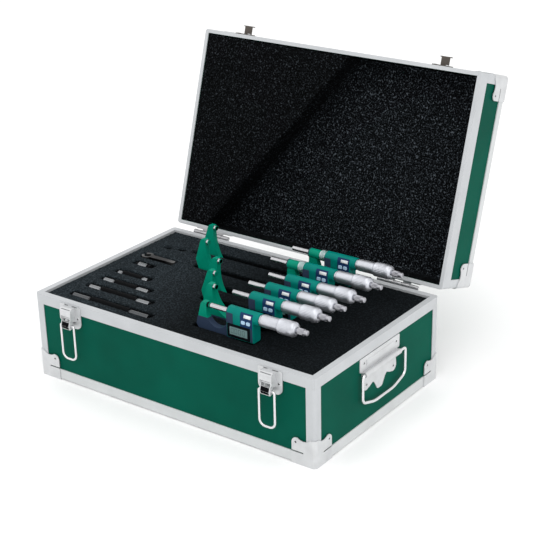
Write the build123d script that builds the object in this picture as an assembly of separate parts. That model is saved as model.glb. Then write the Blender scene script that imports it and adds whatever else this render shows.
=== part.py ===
from build123d import *

import os

# Micrometer case: an aluminium-edged board case with a hinged lid, two wire-loop latches and
# two bail handles. A foam tray holds six outside micrometers, five setting standards and a
# spanner. Millimetres, +Z up, front face towards -Y. The plan is drawn with y = 0 at the front
# face and z = 0 at the bottom edging; export moves it onto the frame that the record claims.

# ---------------------------------------------------------------- driving dimensions
CASE_W = 430.0
CASE_D = 273.0
BASE_H = 113.5
LID_H = 74.0
LID_GAP = 0.3
LID_OPEN = 107.3
CENTRE_Y = 210.936

# Board and extrusions
SHEET = 1.3
BOARD = 4.0
WEB = 1.5
CORNER_R = 4.0
EDGE_FACE = 13.4
EDGE_RETURN = 13.4
RIM_TOP = 8.2
RIM_FACE = 13.4
RIM_LIP = 10.0
RIM_LIP_T = 1.2
POST_FACE = 12.4
LID_RIM_TOP = 5.0
LID_RIM_FACE = 19.9
LID_POST_FACE = 11.9
LID_EDGE_FACE = 11.0
MITRE_GAP = 0.05

# Corner caps, measured from the corner along each wall
CAP_T = 1.2
CAP_REACH = 32.0
CAP_FLANGE = 14.2
CAP_SLIT = 1.6
CAP_SLIT_START = 16.4
CAP_EAR_TOP = 33.0
CAP_DIP = 30.4
CAP_PEAK = 34.6
CAP_EAR_R = 7.0
CAP_RIVET = (26.0, 27.5)
RIVET_R = 2.2
RIVET_T = 0.8

# Hinges on the rear wall
HINGE_BACK = 5.6
HINGE_DROP = 0.4
HINGE_X = 152.0
HINGE_LEN = 60.0
KNUCKLES = 5
KNUCKLE_R = 3.0
KNUCKLE_GAP = 0.4
PIN_R = 1.5
PIN_FIT = 0.1
LEAF_H = 30.0
LEAF_T = 1.5
LEAF_RIVET_X = (-22.0, 0.0, 22.0)

# Latches on the front wall; heights are below the rim plane
LATCH_X = 154.5
PLATE_T = 1.2
LATCH_PLATE_W = 34.0
LATCH_PLATE_TOP = -2.5
LATCH_PLATE_BOTTOM = -33.0
LATCH_PLATE_R = 9.0
LATCH_RIVET = (12.6, -18.5)
HOOD_W = 17.6
HOOD_TOP = -3.6
HOOD_WEB_BOTTOM = -14.2
HOOD_OUT = 10.6
LEVER_PIVOT = (-7.2, -17.2)
LEVER_W = 14.4
LEVER_T = 1.0
LEVER_BOSS_R = 2.9
LOOP_PIVOT = (-8.0, -27.0)
LOOP_HALF = 11.0
LOOP_WIRE_R = 1.6
LOOP_LEN = 47.0
LOOP_END_R = 8.0
STRIKE_W = 24.0
STRIKE_SHELF_W = 12.0
STRIKE_LIP_W = 16.0
STRIKE_SHELF_Z = 16.9
STRIKE_OUT = 11.4
STRIKE_RIVET = (8.6, 7.0)

# Bail handles on the end walls; y along the wall, heights below the rim plane
HANDLE_Y = 136.5
HANDLE_TOP = -14.6
HANDLE_FOLD = -32.5
HANDLE_W = 87.6
HANDLE_RIVET_UP = (35.6, -22.0)
HANDLE_RIVET_LOW = (29.8, -52.5)
BARREL_Z = -35.6
BARREL_OUT = 4.6
BARREL_R = 3.4
BARREL_LEN = 78.0
BAIL_SHIFT = 4.3
BAIL_HALF = 47.5
BAIL_R = 2.0
BAIL_FIT = 0.25
BAIL_LEG = 35.0
BAIL_BOTTOM = 43.0
BAIL_CORNER = 9.0

# Foam
FOAM_DROP = 2.0
FOAM_EDGE = 8.5
LID_FOAM_DROP = 0.5
LID_FOAM_EDGE = 5.4
POCKET_EDGE = 7.0
POCKET_DEPTH = 47.0
POCKET_FRONT_X = 23.0
POCKET_SLANT = 0.72

# Micrometers: range start, anvil x, y, height of the measuring axis above the rim plane, depth of
# the bow's centre below the axis
MICROMETERS = (
    (0.0, 33.5, 46.0, 27.5, 9.0),
    (25.0, 17.0, 78.7, 35.0, 8.0),
    (50.0, -8.4, 111.0, 35.0, 14.0),
    (75.0, -28.3, 144.8, 35.0, 14.0),
    (100.0, -80.8, 187.0, 35.0, 4.5),
    (125.0, -104.2, 232.3, 35.0, 4.5),
)
LONG_FROM = 100.0
OPENING = 1.0
ANVIL_OUT = 4.0
ARM_FACE = 27.8
FRAME_WIDTH = 20.0
FRAME_T = 7.5
LUG_TOP = 3.6
LUG_W = 8.5
SHOULDER_DROP = 26.0
COVER_T = 0.6
COVER_RISE = 9.0
BOSS_R = 6.0
SPINDLE_R = 3.25
BORE_R = 3.5
SHANK_R = 2.5
HOUSING_X = 29.0
HOUSING_R = 7.8
HOUSING_DROP = 31.0
HOUSING_LONG_X = 54.0
RING_X = 45.5
RING_R = 6.9
THIMBLE_X = 76.5
NOSE_LEN = 7.2
LONG_EXTRA = 24.5
THIMBLE_LEN = 49.5
THIMBLE_FRONT_R = 7.6
THIMBLE_FRONT_LEN = 25.0
THIMBLE_R = 9.1
THIMBLE_BORE = 6.7
THIMBLE_CAVITY = 41.0
SLEEVE_R = 6.2
SLEEVE_LEN = 31.0
RATCHET_LEN = 15.0
RATCHET_R = 3.9
BEZEL_W = 34.0
BEZEL_MARGIN = 4.0
BEZEL_Z = (-29.0, -9.4)
BEZEL_RECESS = 0.7
SLOT_CLEAR = 1.6

# Setting standards: length, y; left ends in one line
STANDARDS = ((125.0, 32.0), (100.0, 62.5), (75.0, 89.5), (50.0, 117.0), (25.0, 151.5))
STANDARD_LEFT = -179.5
STANDARD_R = 4.2
GRIP_R = 5.4
GRIP_SHARE = 0.52
GRIP_LAST_SHARE = 0.36
STANDARD_SLOT = 6.2
STANDARD_TAIL = 7.5

# Spanner, flat in the tray, and the spare pockets behind it
SPANNER_LEFT = -189.0
SPANNER_LEN = 55.0
SPANNER_Y = 177.0
SPANNER_T = 3.0
SPANNER_HEAD_R = 8.0
SPANNER_HOOK_R = 4.8
SPANNER_BAR_W = 6.5
SPARE_POCKETS = ((-176.0, 214.0), (-154.5, 218.0), (-133.0, 222.0))
SPARE_POCKET_SIZE = (13.0, 7.0, 8.0)

# ---------------------------------------------------------------- derived places
LID_TOP = BASE_H + LID_GAP + LID_H
HINGE_Y = CASE_D + HINGE_BACK
HINGE_Z = BASE_H - HINGE_DROP
FOAM_TOP = BASE_H - FOAM_DROP
LAYER_Z = FOAM_TOP - 2 * GRIP_R - LID_GAP
MID_PLANE = Plane(origin=(0, CASE_D / 2, 0), z_dir=(0, 1, 0))
LID_FLIP = Pos(0, CASE_D, LID_TOP) * Rot(180, 0, 0)
LID_SWING = Pos(0, HINGE_Y, HINGE_Z) * Rot(-LID_OPEN, 0, 0) * Pos(0, -HINGE_Y, -HINGE_Z)
EXPORT_MOVE = Pos(0, -CENTRE_Y, CAP_T)

parts = {}


def add(node, shapes, where=None):
    """Keep the solids of one node, moved from the plan to where the node stands."""
    move = EXPORT_MOVE * where if where else EXPORT_MOVE
    solids = [move * solid for shape in shapes for solid in shape.solids()]
    parts[node] = solids


def block(x0, x1, y0, y1, z0, z1):
    """Box between six faces."""
    size = (x1 - x0, y1 - y0, z1 - z0)
    return Pos(x0, y0, z0) * Box(*size, align=(Align.MIN, Align.MIN, Align.MIN))


def outline(*points):
    """Closed flat face through the points."""
    return make_face(Polyline(*points, close=True))


def rod_x(radius, x0, x1, y=0.0, z=0.0):
    """Cylinder along X."""
    return Pos((x0 + x1) / 2, y, z) * Rot(0, 90, 0) * Cylinder(radius, x1 - x0)


def rod_y(radius, y0, y1, x=0.0, z=0.0):
    """Cylinder along Y."""
    return Pos(x, (y0 + y1) / 2, z) * Rot(90, 0, 0) * Cylinder(radius, y1 - y0)


def turned(*points):
    """Solid of revolution about X; the points are (x, radius)."""
    return revolve(Plane.XY * outline(*points), Axis.X)


def both_ends(shape):
    """The shape and its mirror image across the middle of the width."""
    return [shape, mirror(shape, about=Plane.YZ)]


def four_corners(shape):
    """The shape at the front right corner, repeated at all four corners."""
    return [turn for side in both_ends(shape) for turn in (side, mirror(side, about=MID_PLANE))]


# ---------------------------------------------------------------- case shells
def mitred_bars(profile):
    """Four bars of one extrusion round the case, mitred and rounded at the corners."""
    bars = []
    half_longest = max(CASE_W, CASE_D)
    rounded = Pos(0, CASE_D / 2, 0) * extrude(
        RectangleRounded(CASE_W, CASE_D, CORNER_R), half_longest, both=True
    )
    for turn, length, depth in ((0, CASE_W, CASE_D), (90, CASE_D, CASE_W),
                                (180, CASE_W, CASE_D), (270, CASE_D, CASE_W)):
        bar = extrude(Plane.YZ * outline(*profile), length / 2, both=True)
        reach = 2 * EDGE_RETURN
        end = length / 2 - MITRE_GAP
        wedge = outline((-end, 0), (end, 0), (end - reach, reach), (reach - end, reach))
        bar = bar & extrude(wedge, half_longest, both=True)
        bar = Pos(0, CASE_D / 2, 0) * Rot(0, 0, turn) * Pos(0, -depth / 2, 0) * bar
        bars.append(bar & rounded)
    return bars


def edging_profile(face):
    """Angle section under the bottom board."""
    return ((0, 0), (EDGE_RETURN, 0), (EDGE_RETURN, SHEET), (SHEET, SHEET), (SHEET, face), (0, face))


def base_rim_profile():
    """Channel section that caps the wall boards, with an inner lip."""
    top, under = BASE_H, BASE_H - WEB
    lip = RIM_TOP - RIM_LIP_T
    return ((0, top), (RIM_TOP, top), (RIM_TOP, top - RIM_LIP), (lip, top - RIM_LIP), (lip, under),
            (SHEET, under), (SHEET, top - RIM_FACE), (0, top - RIM_FACE))


def lid_rim_profile():
    """Angle section that covers the lid's board edges."""
    top, under = LID_H, LID_H - WEB
    return ((0, top), (LID_RIM_TOP, top), (LID_RIM_TOP, under), (SHEET, under),
            (SHEET, top - LID_RIM_FACE), (0, top - LID_RIM_FACE))


def corner_angle(face, wall, radius, z0, z1):
    """Angle with a rounded outer corner: corner at the origin, walls along -X and +Y."""
    outer = Pos(-face / 2, face / 2) * Rectangle(face, face)
    outer = fillet(outer.vertices().sort_by(Axis.X)[-2:].sort_by(Axis.Y)[0], radius)
    inner = Pos(-wall - face / 2, wall + face / 2) * Rectangle(face, face)
    inner = fillet(inner.vertices().sort_by(Axis.X)[-2:].sort_by(Axis.Y)[0], radius - wall)
    return Pos(0, 0, z0) * extrude(outer - inner, z1 - z0)


def corner_post(face, z0, z1):
    """Corner post at the front right corner."""
    return Pos(CASE_W / 2, 0, 0) * corner_angle(face, SHEET, CORNER_R, z0, z1)


def boards(height):
    """Bottom board, the two long walls and the two end walls of one shell."""
    core = extrude(RectangleRounded(CASE_W - 2 * SHEET, CASE_D - 2 * SHEET, CORNER_R - SHEET), height)
    core = Pos(0, CASE_D / 2, 0) * core
    half = CASE_W / 2
    floor_top = SHEET + BOARD
    wall_top = height - WEB
    bottom = core & block(-half, half, 0, CASE_D, SHEET, floor_top)
    front = core & block(-half, half, SHEET, floor_top, floor_top, wall_top)
    back = mirror(front, about=MID_PLANE)
    end = block(half - floor_top, half - SHEET, floor_top, CASE_D - floor_top, floor_top, wall_top)
    return bottom, [front, back], both_ends(end)


def cap_wall():
    """Outline of one wall of a corner cap: distance from the corner along X, height along Y."""
    below = -2 * CAP_T
    ear = (CAP_REACH, CAP_EAR_TOP)
    sides = [
        Line((-2, below), (CAP_REACH, below)),
        Line((CAP_REACH, below), ear),
        Line(ear, (CAP_REACH - CAP_EAR_R - 1, CAP_EAR_TOP)),
        ThreePointArc((CAP_REACH - CAP_EAR_R - 1, CAP_EAR_TOP), (15.0, CAP_DIP), (6.0, CAP_PEAK)),
        Line((6.0, CAP_PEAK), (-2, CAP_PEAK)),
        Line((-2, CAP_PEAK), (-2, below)),
    ]
    face = make_face(sides)
    face = fillet(face.vertices().sort_by_distance((*ear, 0))[0], CAP_EAR_R)
    slit_y = CAP_FLANGE + CAP_SLIT / 2
    slit = Pos((CAP_SLIT_START + CAP_REACH) / 2 + 2, slit_y) * Rectangle(
        CAP_REACH - CAP_SLIT_START + 4, CAP_SLIT)
    return face - slit - Pos(CAP_SLIT_START, slit_y) * Circle(CAP_SLIT / 2)


def corner_cap():
    """Stamped cap over the front right bottom corner: two eared walls and a floor."""
    reach = CAP_REACH + 2
    solid = Pos(0, -CAP_T, 0) * corner_angle(reach + CAP_T, CAP_T, CORNER_R + CAP_T, -CAP_T, CAP_PEAK)
    shell_walls = Pos(CAP_T, 0, 0) * solid
    floor = block(-reach, CAP_T, -CAP_T, reach, -CAP_T, 0)
    floor = fillet(floor.edges().filter_by(Axis.Z).sort_by_distance((CAP_T, -CAP_T, 0))[0],
                   CORNER_R + CAP_T)
    wall = cap_wall()
    front_keep = Plane.XZ * mirror(wall, about=Plane.YZ)
    front_keep = extrude(front_keep, CORNER_R + 1, both=True)
    side_keep = extrude(Plane.YZ * wall, CORNER_R + 1, both=True)
    near, far = 8.0, CAP_REACH
    floor_keep = outline((-far, -2), (2, -2), (2, far), (-near, far), (-far, near))
    floor_keep = Pos(0, 0, -2) * extrude(floor_keep, 2)
    cap = (shell_walls & (front_keep + side_keep)) + (floor & floor_keep)
    return Pos(CASE_W / 2, 0, 0) * cap


def cap_rivets():
    """The two rivets of the front right cap."""
    along, up = CAP_RIVET
    front = rod_y(RIVET_R, -CAP_T - RIVET_T, -CAP_T, CASE_W / 2 - along, up)
    side = rod_x(RIVET_R, CASE_W / 2 + CAP_T, CASE_W / 2 + CAP_T + RIVET_T, along, up)
    return front + side


def make_shell(name, bottom_name, height, rim_profile, rim_face, post_face, edge_face, where):
    """Boards, extrusions and caps of one shell, open side up in the plan."""
    bottom, long_panels, end_panels = boards(height)
    add(f"{name}_{bottom_name}_panel", [bottom], where)
    add(f"{name}_long_panels", long_panels, where)
    add(f"{name}_end_panels", end_panels, where)
    add(f"{name}_rim", mitred_bars(rim_profile), where)
    add(f"{name}_{bottom_name}_edging", mitred_bars(edging_profile(edge_face)), where)
    post = corner_post(post_face, edge_face, height - rim_face)
    add(f"{name}_corner_posts", four_corners(post), where)
    add(f"{name}_corner_caps", four_corners(corner_cap()), where)


# ---------------------------------------------------------------- hinges
def knuckles(first):
    """Every second knuckle of one hinge, bored for the pin, centred on x = 0."""
    pitch = HINGE_LEN / KNUCKLES
    tubes = []
    for index in range(first, KNUCKLES, 2):
        x0 = -HINGE_LEN / 2 + index * pitch + KNUCKLE_GAP / 2
        x1 = x0 + pitch - KNUCKLE_GAP
        tubes.append((x0, x1))
    return tubes


def hinge_leaf(first, up):
    """Leaf on the rear wall with its knuckles; up is +1 for the lid and -1 for the base."""
    near, far = 4.0, 4.0 + LEAF_H
    z0, z1 = sorted((up * near, up * far))
    leaf = block(-HINGE_LEN / 2, HINGE_LEN / 2, -HINGE_BACK, LEAF_T - HINGE_BACK, z0, z1)
    ends = leaf.edges().filter_by(Axis.Y).group_by(Axis.Z)[-1 if up > 0 else 0]
    leaf = fillet(ends, 4.0)
    for x0, x1 in knuckles(first):
        web_z0, web_z1 = sorted((up * 1.4, up * (near + 0.5)))
        web = block(x0, x1, -HINGE_BACK, LEAF_T - HINGE_BACK, web_z0, web_z1)
        arm_z0, arm_z1 = sorted((up * 1.4, up * 2.9))
        arm = block(x0, x1, -HINGE_BACK, 0, arm_z0, arm_z1)
        leaf = leaf + web + arm + rod_x(KNUCKLE_R, x0, x1)
    return leaf - rod_x(PIN_R + PIN_FIT, -HINGE_LEN, HINGE_LEN)


def make_hinges():
    """Base leaves, lid leaves and pins of both hinges."""
    at = [Pos(x, HINGE_Y, HINGE_Z) for x in (-HINGE_X, HINGE_X)]
    add("base_hinge_leaves", [place * hinge_leaf(0, -1) for place in at])
    add("lid_hinge_leaves", [place * hinge_leaf(1, 1) for place in at], LID_SWING)
    pin = rod_x(PIN_R, -HINGE_LEN / 2 - 1, HINGE_LEN / 2 + 1)
    add("hinge_pins", [place * pin for place in at])


def leaf_rivets(up):
    """Rivet heads of both leaves on one shell."""
    heads = []
    for centre in (-HINGE_X, HINGE_X):
        for offset in LEAF_RIVET_X:
            y0 = CASE_D + LEAF_T
            z = HINGE_Z + up * (4.0 + LEAF_H * (0.72 if offset else 0.4))
            heads.append(rod_y(RIVET_R, y0, y0 + RIVET_T, centre + offset, z))
    return heads


# ---------------------------------------------------------------- latches
def latch_plate():
    """Riveted plate with the hood that carries the lever; x = 0 at the latch centre."""
    height = LATCH_PLATE_TOP - LATCH_PLATE_BOTTOM
    middle = (LATCH_PLATE_TOP + LATCH_PLATE_BOTTOM) / 2
    plate = Pos(0, middle) * Rectangle(LATCH_PLATE_W, height)
    plate = fillet(plate.vertices().group_by(Axis.Y)[0], LATCH_PLATE_R)
    plate = fillet(plate.vertices().group_by(Axis.Y)[-1], 2.0)
    plate = Pos(0, 0, BASE_H) * extrude(Plane.XZ * plate, PLATE_T)
    seat = Pos(0, (LATCH_PLATE_BOTTOM - RIM_FACE - 0.4) / 2) * Rectangle(
        LATCH_PLATE_W - 6, -RIM_FACE - 0.4 - LATCH_PLATE_BOTTOM)
    seat = fillet(seat.vertices().group_by(Axis.Y)[0], LATCH_PLATE_R - 2)
    plate = plate + Pos(0, SHEET, BASE_H) * extrude(Plane.XZ * seat, SHEET + 0.2)
    pivot_y, pivot_z = LEVER_PIVOT
    cheek = outline((0, HOOD_TOP), (-HOOD_OUT + 3, HOOD_TOP), (-HOOD_OUT, HOOD_TOP - 3),
                    (-HOOD_OUT, pivot_z), (pivot_y, pivot_z - LEVER_BOSS_R - 0.6), (0, pivot_z - 6))
    cheek = cheek + Pos(pivot_y, pivot_z) * Circle(LEVER_BOSS_R + 0.6)
    hood = extrude(Plane.YZ * cheek, HOOD_W / 2, both=True)
    inside = block(-HOOD_W / 2 + PLATE_T, HOOD_W / 2 - PLATE_T, -HOOD_OUT + PLATE_T, 1,
                   LATCH_PLATE_BOTTOM, HOOD_TOP - PLATE_T)
    mouth = block(-HOOD_W / 2 + PLATE_T, HOOD_W / 2 - PLATE_T, -HOOD_OUT - 1, 1,
                  LATCH_PLATE_BOTTOM, HOOD_WEB_BOTTOM)
    hood = Pos(0, 0, BASE_H) * (hood - inside - mouth)
    pin = rod_x(1.3, -HOOD_W / 2, HOOD_W / 2, pivot_y, BASE_H + pivot_z)
    return plate + hood + pin


def latch_lever():
    """Bent lever: two flanges on the pin and a curved pull below them."""
    pivot_y, pivot_z = LEVER_PIVOT
    loop_y, loop_z = LOOP_PIVOT
    flange = outline((pivot_y - 2.2, pivot_z), (pivot_y + 2.4, pivot_z), (loop_y + 3.2, loop_z),
                     (loop_y + 2.4, loop_z - 3.8), (loop_y - 3.0, loop_z - 4.6),
                     (loop_y - 4.4, loop_z))
    flange = flange + Pos(pivot_y, pivot_z) * Circle(LEVER_BOSS_R)
    sides = extrude(Plane.YZ * flange, LEVER_W / 2, both=True)
    hollow = outline((pivot_y - 5, pivot_z - 4.4), (pivot_y - 1.0, pivot_z - 4.4),
                     (loop_y - 2.9, loop_z), (loop_y - 1.9, loop_z - 3.2), (loop_y + 9, loop_z - 3.4),
                     (loop_y + 9, pivot_z + 9), (pivot_y - 5, pivot_z + 9))
    inside = LEVER_W / 2 - LEVER_T
    lever = sides - extrude(Plane.YZ * hollow, inside, both=True)
    lever = lever - rod_x(1.3 + PIN_FIT, -HOOD_W, HOOD_W, pivot_y, pivot_z)
    lever = lever - rod_x(LOOP_WIRE_R + PIN_FIT, -HOOD_W, HOOD_W, loop_y, loop_z)
    return Pos(0, 0, BASE_H) * lever


def latch_loop():
    """Wire loop hanging from the lever, its ends turned in through the flanges."""
    loop_y, loop_z = LOOP_PIVOT
    inner = LEVER_W / 2 - LEVER_T
    bottom = -LOOP_LEN
    straight = LOOP_HALF - LOOP_END_R
    turn = 2.6
    path = Polyline((-inner, 0), (-LOOP_HALF, 0), (-LOOP_HALF, bottom), (LOOP_HALF, bottom),
                    (LOOP_HALF, 0), (inner, 0))
    corners = path.vertices()
    path = fillet([v for v in corners if v.Y < bottom / 2], LOOP_END_R)
    path = fillet([v for v in path.vertices() if abs(v.Y) < 1 and abs(v.X) > inner + 1], turn)
    wire = Plane.XZ * path
    start = Plane(origin=wire @ 0, z_dir=wire % 0)
    loop = sweep(start * Circle(LOOP_WIRE_R), wire)
    return Pos(0, loop_y, BASE_H + loop_z) * loop


def latch_strike():
    """Hooked strike on the lid's rim, drawn with the lid closed."""
    z0 = BASE_H + LID_GAP
    plate = block(-STRIKE_W / 2, STRIKE_W / 2, -PLATE_T, 0, z0 + 2.5, z0 + 18.5)
    plate = fillet(plate.edges().filter_by(Axis.Y), 2.5)
    shelf_z = z0 + STRIKE_SHELF_Z
    half = STRIKE_SHELF_W / 2
    shelf = block(-half, half, -STRIKE_OUT, 0, shelf_z - PLATE_T, shelf_z)
    lip_half = STRIKE_LIP_W / 2
    lip = block(-lip_half, lip_half, -STRIKE_OUT - PLATE_T, -STRIKE_OUT, shelf_z - PLATE_T, shelf_z + 4.6)
    lip = fillet(lip.edges().filter_by(Axis.Y).group_by(Axis.Z)[-1], 3.0)
    return plate + shelf + lip


def latch_rivets():
    """Rivet heads of both latch plates."""
    along, up = LATCH_RIVET
    return [rod_y(RIVET_R, -PLATE_T - RIVET_T, -PLATE_T, centre + side * along, BASE_H + up)
            for centre in (-LATCH_X, LATCH_X) for side in (-1, 1)]


def strike_rivets():
    """Rivet heads of both strikes, drawn with the lid closed."""
    along, up = STRIKE_RIVET
    z = BASE_H + LID_GAP + up
    return [rod_y(RIVET_R, -PLATE_T - RIVET_T, -PLATE_T, centre + side * along, z)
            for centre in (-LATCH_X, LATCH_X) for side in (-1, 1)]


def make_latches():
    """Plates, levers, loops and strikes of both latches."""
    add("latch_plates", [Pos(x, 0, 0) * latch_plate() for x in (-LATCH_X, LATCH_X)])
    add("latch_strikes", [Pos(x, 0, 0) * latch_strike() for x in (-LATCH_X, LATCH_X)], LID_SWING)
    for side, x in (("left", -LATCH_X), ("right", LATCH_X)):
        add(f"latch_lever_{side}", [Pos(x, 0, 0) * latch_lever()])
        add(f"latch_loop_{side}", [Pos(x, 0, 0) * latch_loop()])


# ---------------------------------------------------------------- handles
def handle_plate():
    """Pressed plate of the right handle: riveted top, rolled barrel and cut-out shield."""
    skin = CASE_W / 2 - SHEET
    half = HANDLE_W / 2
    top = Pos(0, (HANDLE_TOP + HANDLE_FOLD) / 2) * Rectangle(HANDLE_W, HANDLE_TOP - HANDLE_FOLD)
    top = fillet(top.vertices(), 2.0)
    lobe_y, lobe_z = HANDLE_RIVET_LOW
    shield = outline((-35, HANDLE_FOLD - 4), (35, HANDLE_FOLD - 4), (37, lobe_z), (24, lobe_z - 6),
                     (15, lobe_z - 2), (11, lobe_z - 6), (5, -68.5), (-5, -68.5),
                     (-11, lobe_z - 6), (-15, lobe_z - 2), (-24, lobe_z - 6), (-37, lobe_z))
    tongue = [v for v in shield.vertices() if v.Y < lobe_z - 10]
    shield = fillet(tongue, 3.5)
    lobes = [Pos(side * lobe_y, lobe_z) * Circle(7.2) for side in (-1, 1)]
    neck = Pos(0, (HANDLE_FOLD + BARREL_Z) / 2 - 1) * Rectangle(BARREL_LEN, 6)
    sheet = top + shield + lobes + neck
    sheet = extrude(Plane.YZ * sheet, PLATE_T)
    barrel = rod_y(BARREL_R, -BARREL_LEN / 2, BARREL_LEN / 2, BARREL_OUT, BARREL_Z)
    saddle = block(0, BARREL_OUT, -BARREL_LEN / 2, BARREL_LEN / 2, BARREL_Z - 2, BARREL_Z + 2.6)
    bead = Pos(0, 0, (HANDLE_TOP + HANDLE_FOLD) / 2) * block(0, PLATE_T + 0.8, -half + 14, half - 14, -4, 4)
    bead = chamfer(bead.edges().filter_by(Axis.Y).group_by(Axis.X)[-1], 0.7)
    plate = sheet + bead + barrel + saddle
    plate = plate - rod_y(BAIL_R + BAIL_FIT, -BARREL_LEN, BARREL_LEN, BARREL_OUT, BARREL_Z)
    return Pos(skin, HANDLE_Y, BASE_H) * plate


def handle_bail():
    """Wire bail of the right handle, hanging: a bar through the barrel and a bowed grip."""
    skin = CASE_W / 2 - SHEET
    low = -BAIL_LEG
    bow = -BAIL_BOTTOM
    half = BAIL_HALF
    side = Polyline((0, 0), (half, 0), (half, low), (half * 0.45, bow), (0, bow))
    bends = [v for v in side.vertices() if v.X > 1]
    side = fillet([v for v in bends if v.Y > -1], 4.0)
    side = fillet([v for v in side.vertices() if v.X > half - 1 and v.Y < -10], BAIL_CORNER)
    side = fillet([v for v in side.vertices() if 1 < v.X < half / 2 and v.Y < bow + 1], 40.0)
    start = Plane(origin=(0, 0, 0), z_dir=(1, 0, 0))
    half_bail = sweep(start * Circle(BAIL_R), side)
    bail = half_bail + mirror(half_bail, about=Plane.YZ)
    bail = Plane.YZ * bail
    return Pos(skin + BARREL_OUT, HANDLE_Y + BAIL_SHIFT, BASE_H + BARREL_Z) * bail


def handle_rivets():
    """Rivet heads of both handle plates."""
    x0 = CASE_W / 2 - SHEET + PLATE_T
    heads = []
    for along, up in (HANDLE_RIVET_UP, HANDLE_RIVET_LOW):
        for side in (-1, 1):
            head = rod_x(RIVET_R, x0, x0 + RIVET_T, HANDLE_Y + side * along, BASE_H + up)
            heads += both_ends(head)
    return heads


def make_handles():
    """Plates and bails on both end walls."""
    add("handle_plates", both_ends(handle_plate()))
    left, right = handle_bail(), handle_bail()
    add("handle_right", [right])
    add("handle_left", [mirror(left, about=Plane.YZ)])


# ---------------------------------------------------------------- micrometers
def extra(size):
    """Added body length of the two largest micrometers."""
    return LONG_EXTRA if size >= LONG_FROM else 0.0


def bow_reach(size):
    """Radius of the throat, radius of the outer curve and x of their common centre."""
    inner_r = (size + ARM_FACE + ANVIL_OUT) / 2
    return inner_r, inner_r + FRAME_WIDTH, (size + ARM_FACE - ANVIL_OUT) / 2


def bow_face(size, drop):
    """Flat outline of the bow: arms that widen downwards and a round bottom."""
    inner_r, outer_r, centre = bow_reach(size)
    arm, lug, deep = size + ARM_FACE, -ANVIL_OUT, 3 * outer_r
    side = (outer_r ** 2 - (SHOULDER_DROP - drop) ** 2) ** 0.5
    arms = outline((lug, LUG_TOP), (lug - LUG_W + 2, LUG_TOP), (lug - LUG_W, LUG_TOP - 3),
                   (centre - side, -SHOULDER_DROP), (centre - side, -deep),
                   (centre + side, -deep), (centre + side, -SHOULDER_DROP),
                   (arm + LUG_W, LUG_TOP), (lug, LUG_TOP))
    upright = Pos(centre, deep / 2 - drop) * Rectangle(3 * outer_r, deep)
    rounded = Pos(centre, -drop) * Circle(outer_r)
    gap = Pos(centre, deep / 2 - drop) * Rectangle(2 * inner_r, deep)
    throat = gap + Pos(centre, -drop) * Circle(inner_r)
    return arms & (upright + rounded) - throat


def micrometer_frame(size, drop):
    """Bow frame with anvil and spindle boss; a thicker hand cover wraps the bottom of the bow."""
    inner_r, outer_r, centre = bow_reach(size)
    arm = size + ARM_FACE
    face = bow_face(size, drop)
    frame = extrude(Plane.XZ * face, FRAME_T / 2, both=True)
    cover_top = COVER_RISE - drop - inner_r
    low = Pos(centre, cover_top - outer_r) * Rectangle(3 * outer_r, 2 * outer_r)
    frame = frame + extrude(Plane.XZ * (face & low), FRAME_T / 2 + COVER_T, both=True)
    boss_end = RING_X if size >= LONG_FROM else HOUSING_X + 6
    frame = frame + rod_x(SPINDLE_R, -ANVIL_OUT - 1, 0) + rod_x(BOSS_R, arm, size + boss_end)
    if size >= LONG_FROM:
        frame = frame + rod_x(RING_R, size + RING_X, size + HOUSING_LONG_X)
    return frame - rod_x(BORE_R, arm - 1, size + HOUSING_LONG_X + 1)


def micrometer_housing(size, frame):
    """Display block with a round nose, and the sleeve that the thimble runs on."""
    x0 = size + (HOUSING_LONG_X if size >= LONG_FROM else HOUSING_X)
    x2 = size + THIMBLE_X + extra(size) - OPENING - LID_GAP
    x1 = x2 - NOSE_LEN
    low = -HOUSING_DROP
    section = Circle(HOUSING_R) + Pos(0, low / 2) * Rectangle(2 * HOUSING_R, -low)
    section = fillet(section.vertices().group_by(Axis.Y)[0], 3.0)
    body = Pos(x0, 0, 0) * extrude(Plane.YZ * section, x1 - x0)
    body = chamfer(body.faces().sort_by(Axis.X)[0].edges(), 0.8)
    body = chamfer(body.faces().sort_by(Axis.X)[-1].edges(), 0.8)
    z0, z1 = BEZEL_Z
    right = x1 - BEZEL_MARGIN
    window = block(right - BEZEL_W, right, -HOUSING_R - 1, BEZEL_RECESS - HOUSING_R, z0, z1)
    body = body - fillet(window.edges().filter_by(Axis.Y), 1.5)
    nose = turned((x1 - 3, 0), (x1 - 3, HOUSING_R), (x2 - 1, HOUSING_R), (x2, HOUSING_R - 1), (x2, 0))
    body = body + nose + rod_x(SLEEVE_R, x2 - 2, x2 + SLEEVE_LEN)
    return body - rod_x(BORE_R, x0 - 1, x2 + SLEEVE_LEN + 1) - frame


def micrometer_spindle(size):
    """Measuring spindle with a thinner rear shank."""
    tip = size + OPENING
    wall = size + THIMBLE_X + extra(size) + THIMBLE_CAVITY
    return turned((tip, 0), (tip, SPINDLE_R - 0.3), (tip + 0.3, SPINDLE_R), (wall - 6, SPINDLE_R),
                  (wall - 6, SHANK_R), (wall + 5, SHANK_R), (wall + 5, 0))


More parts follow.
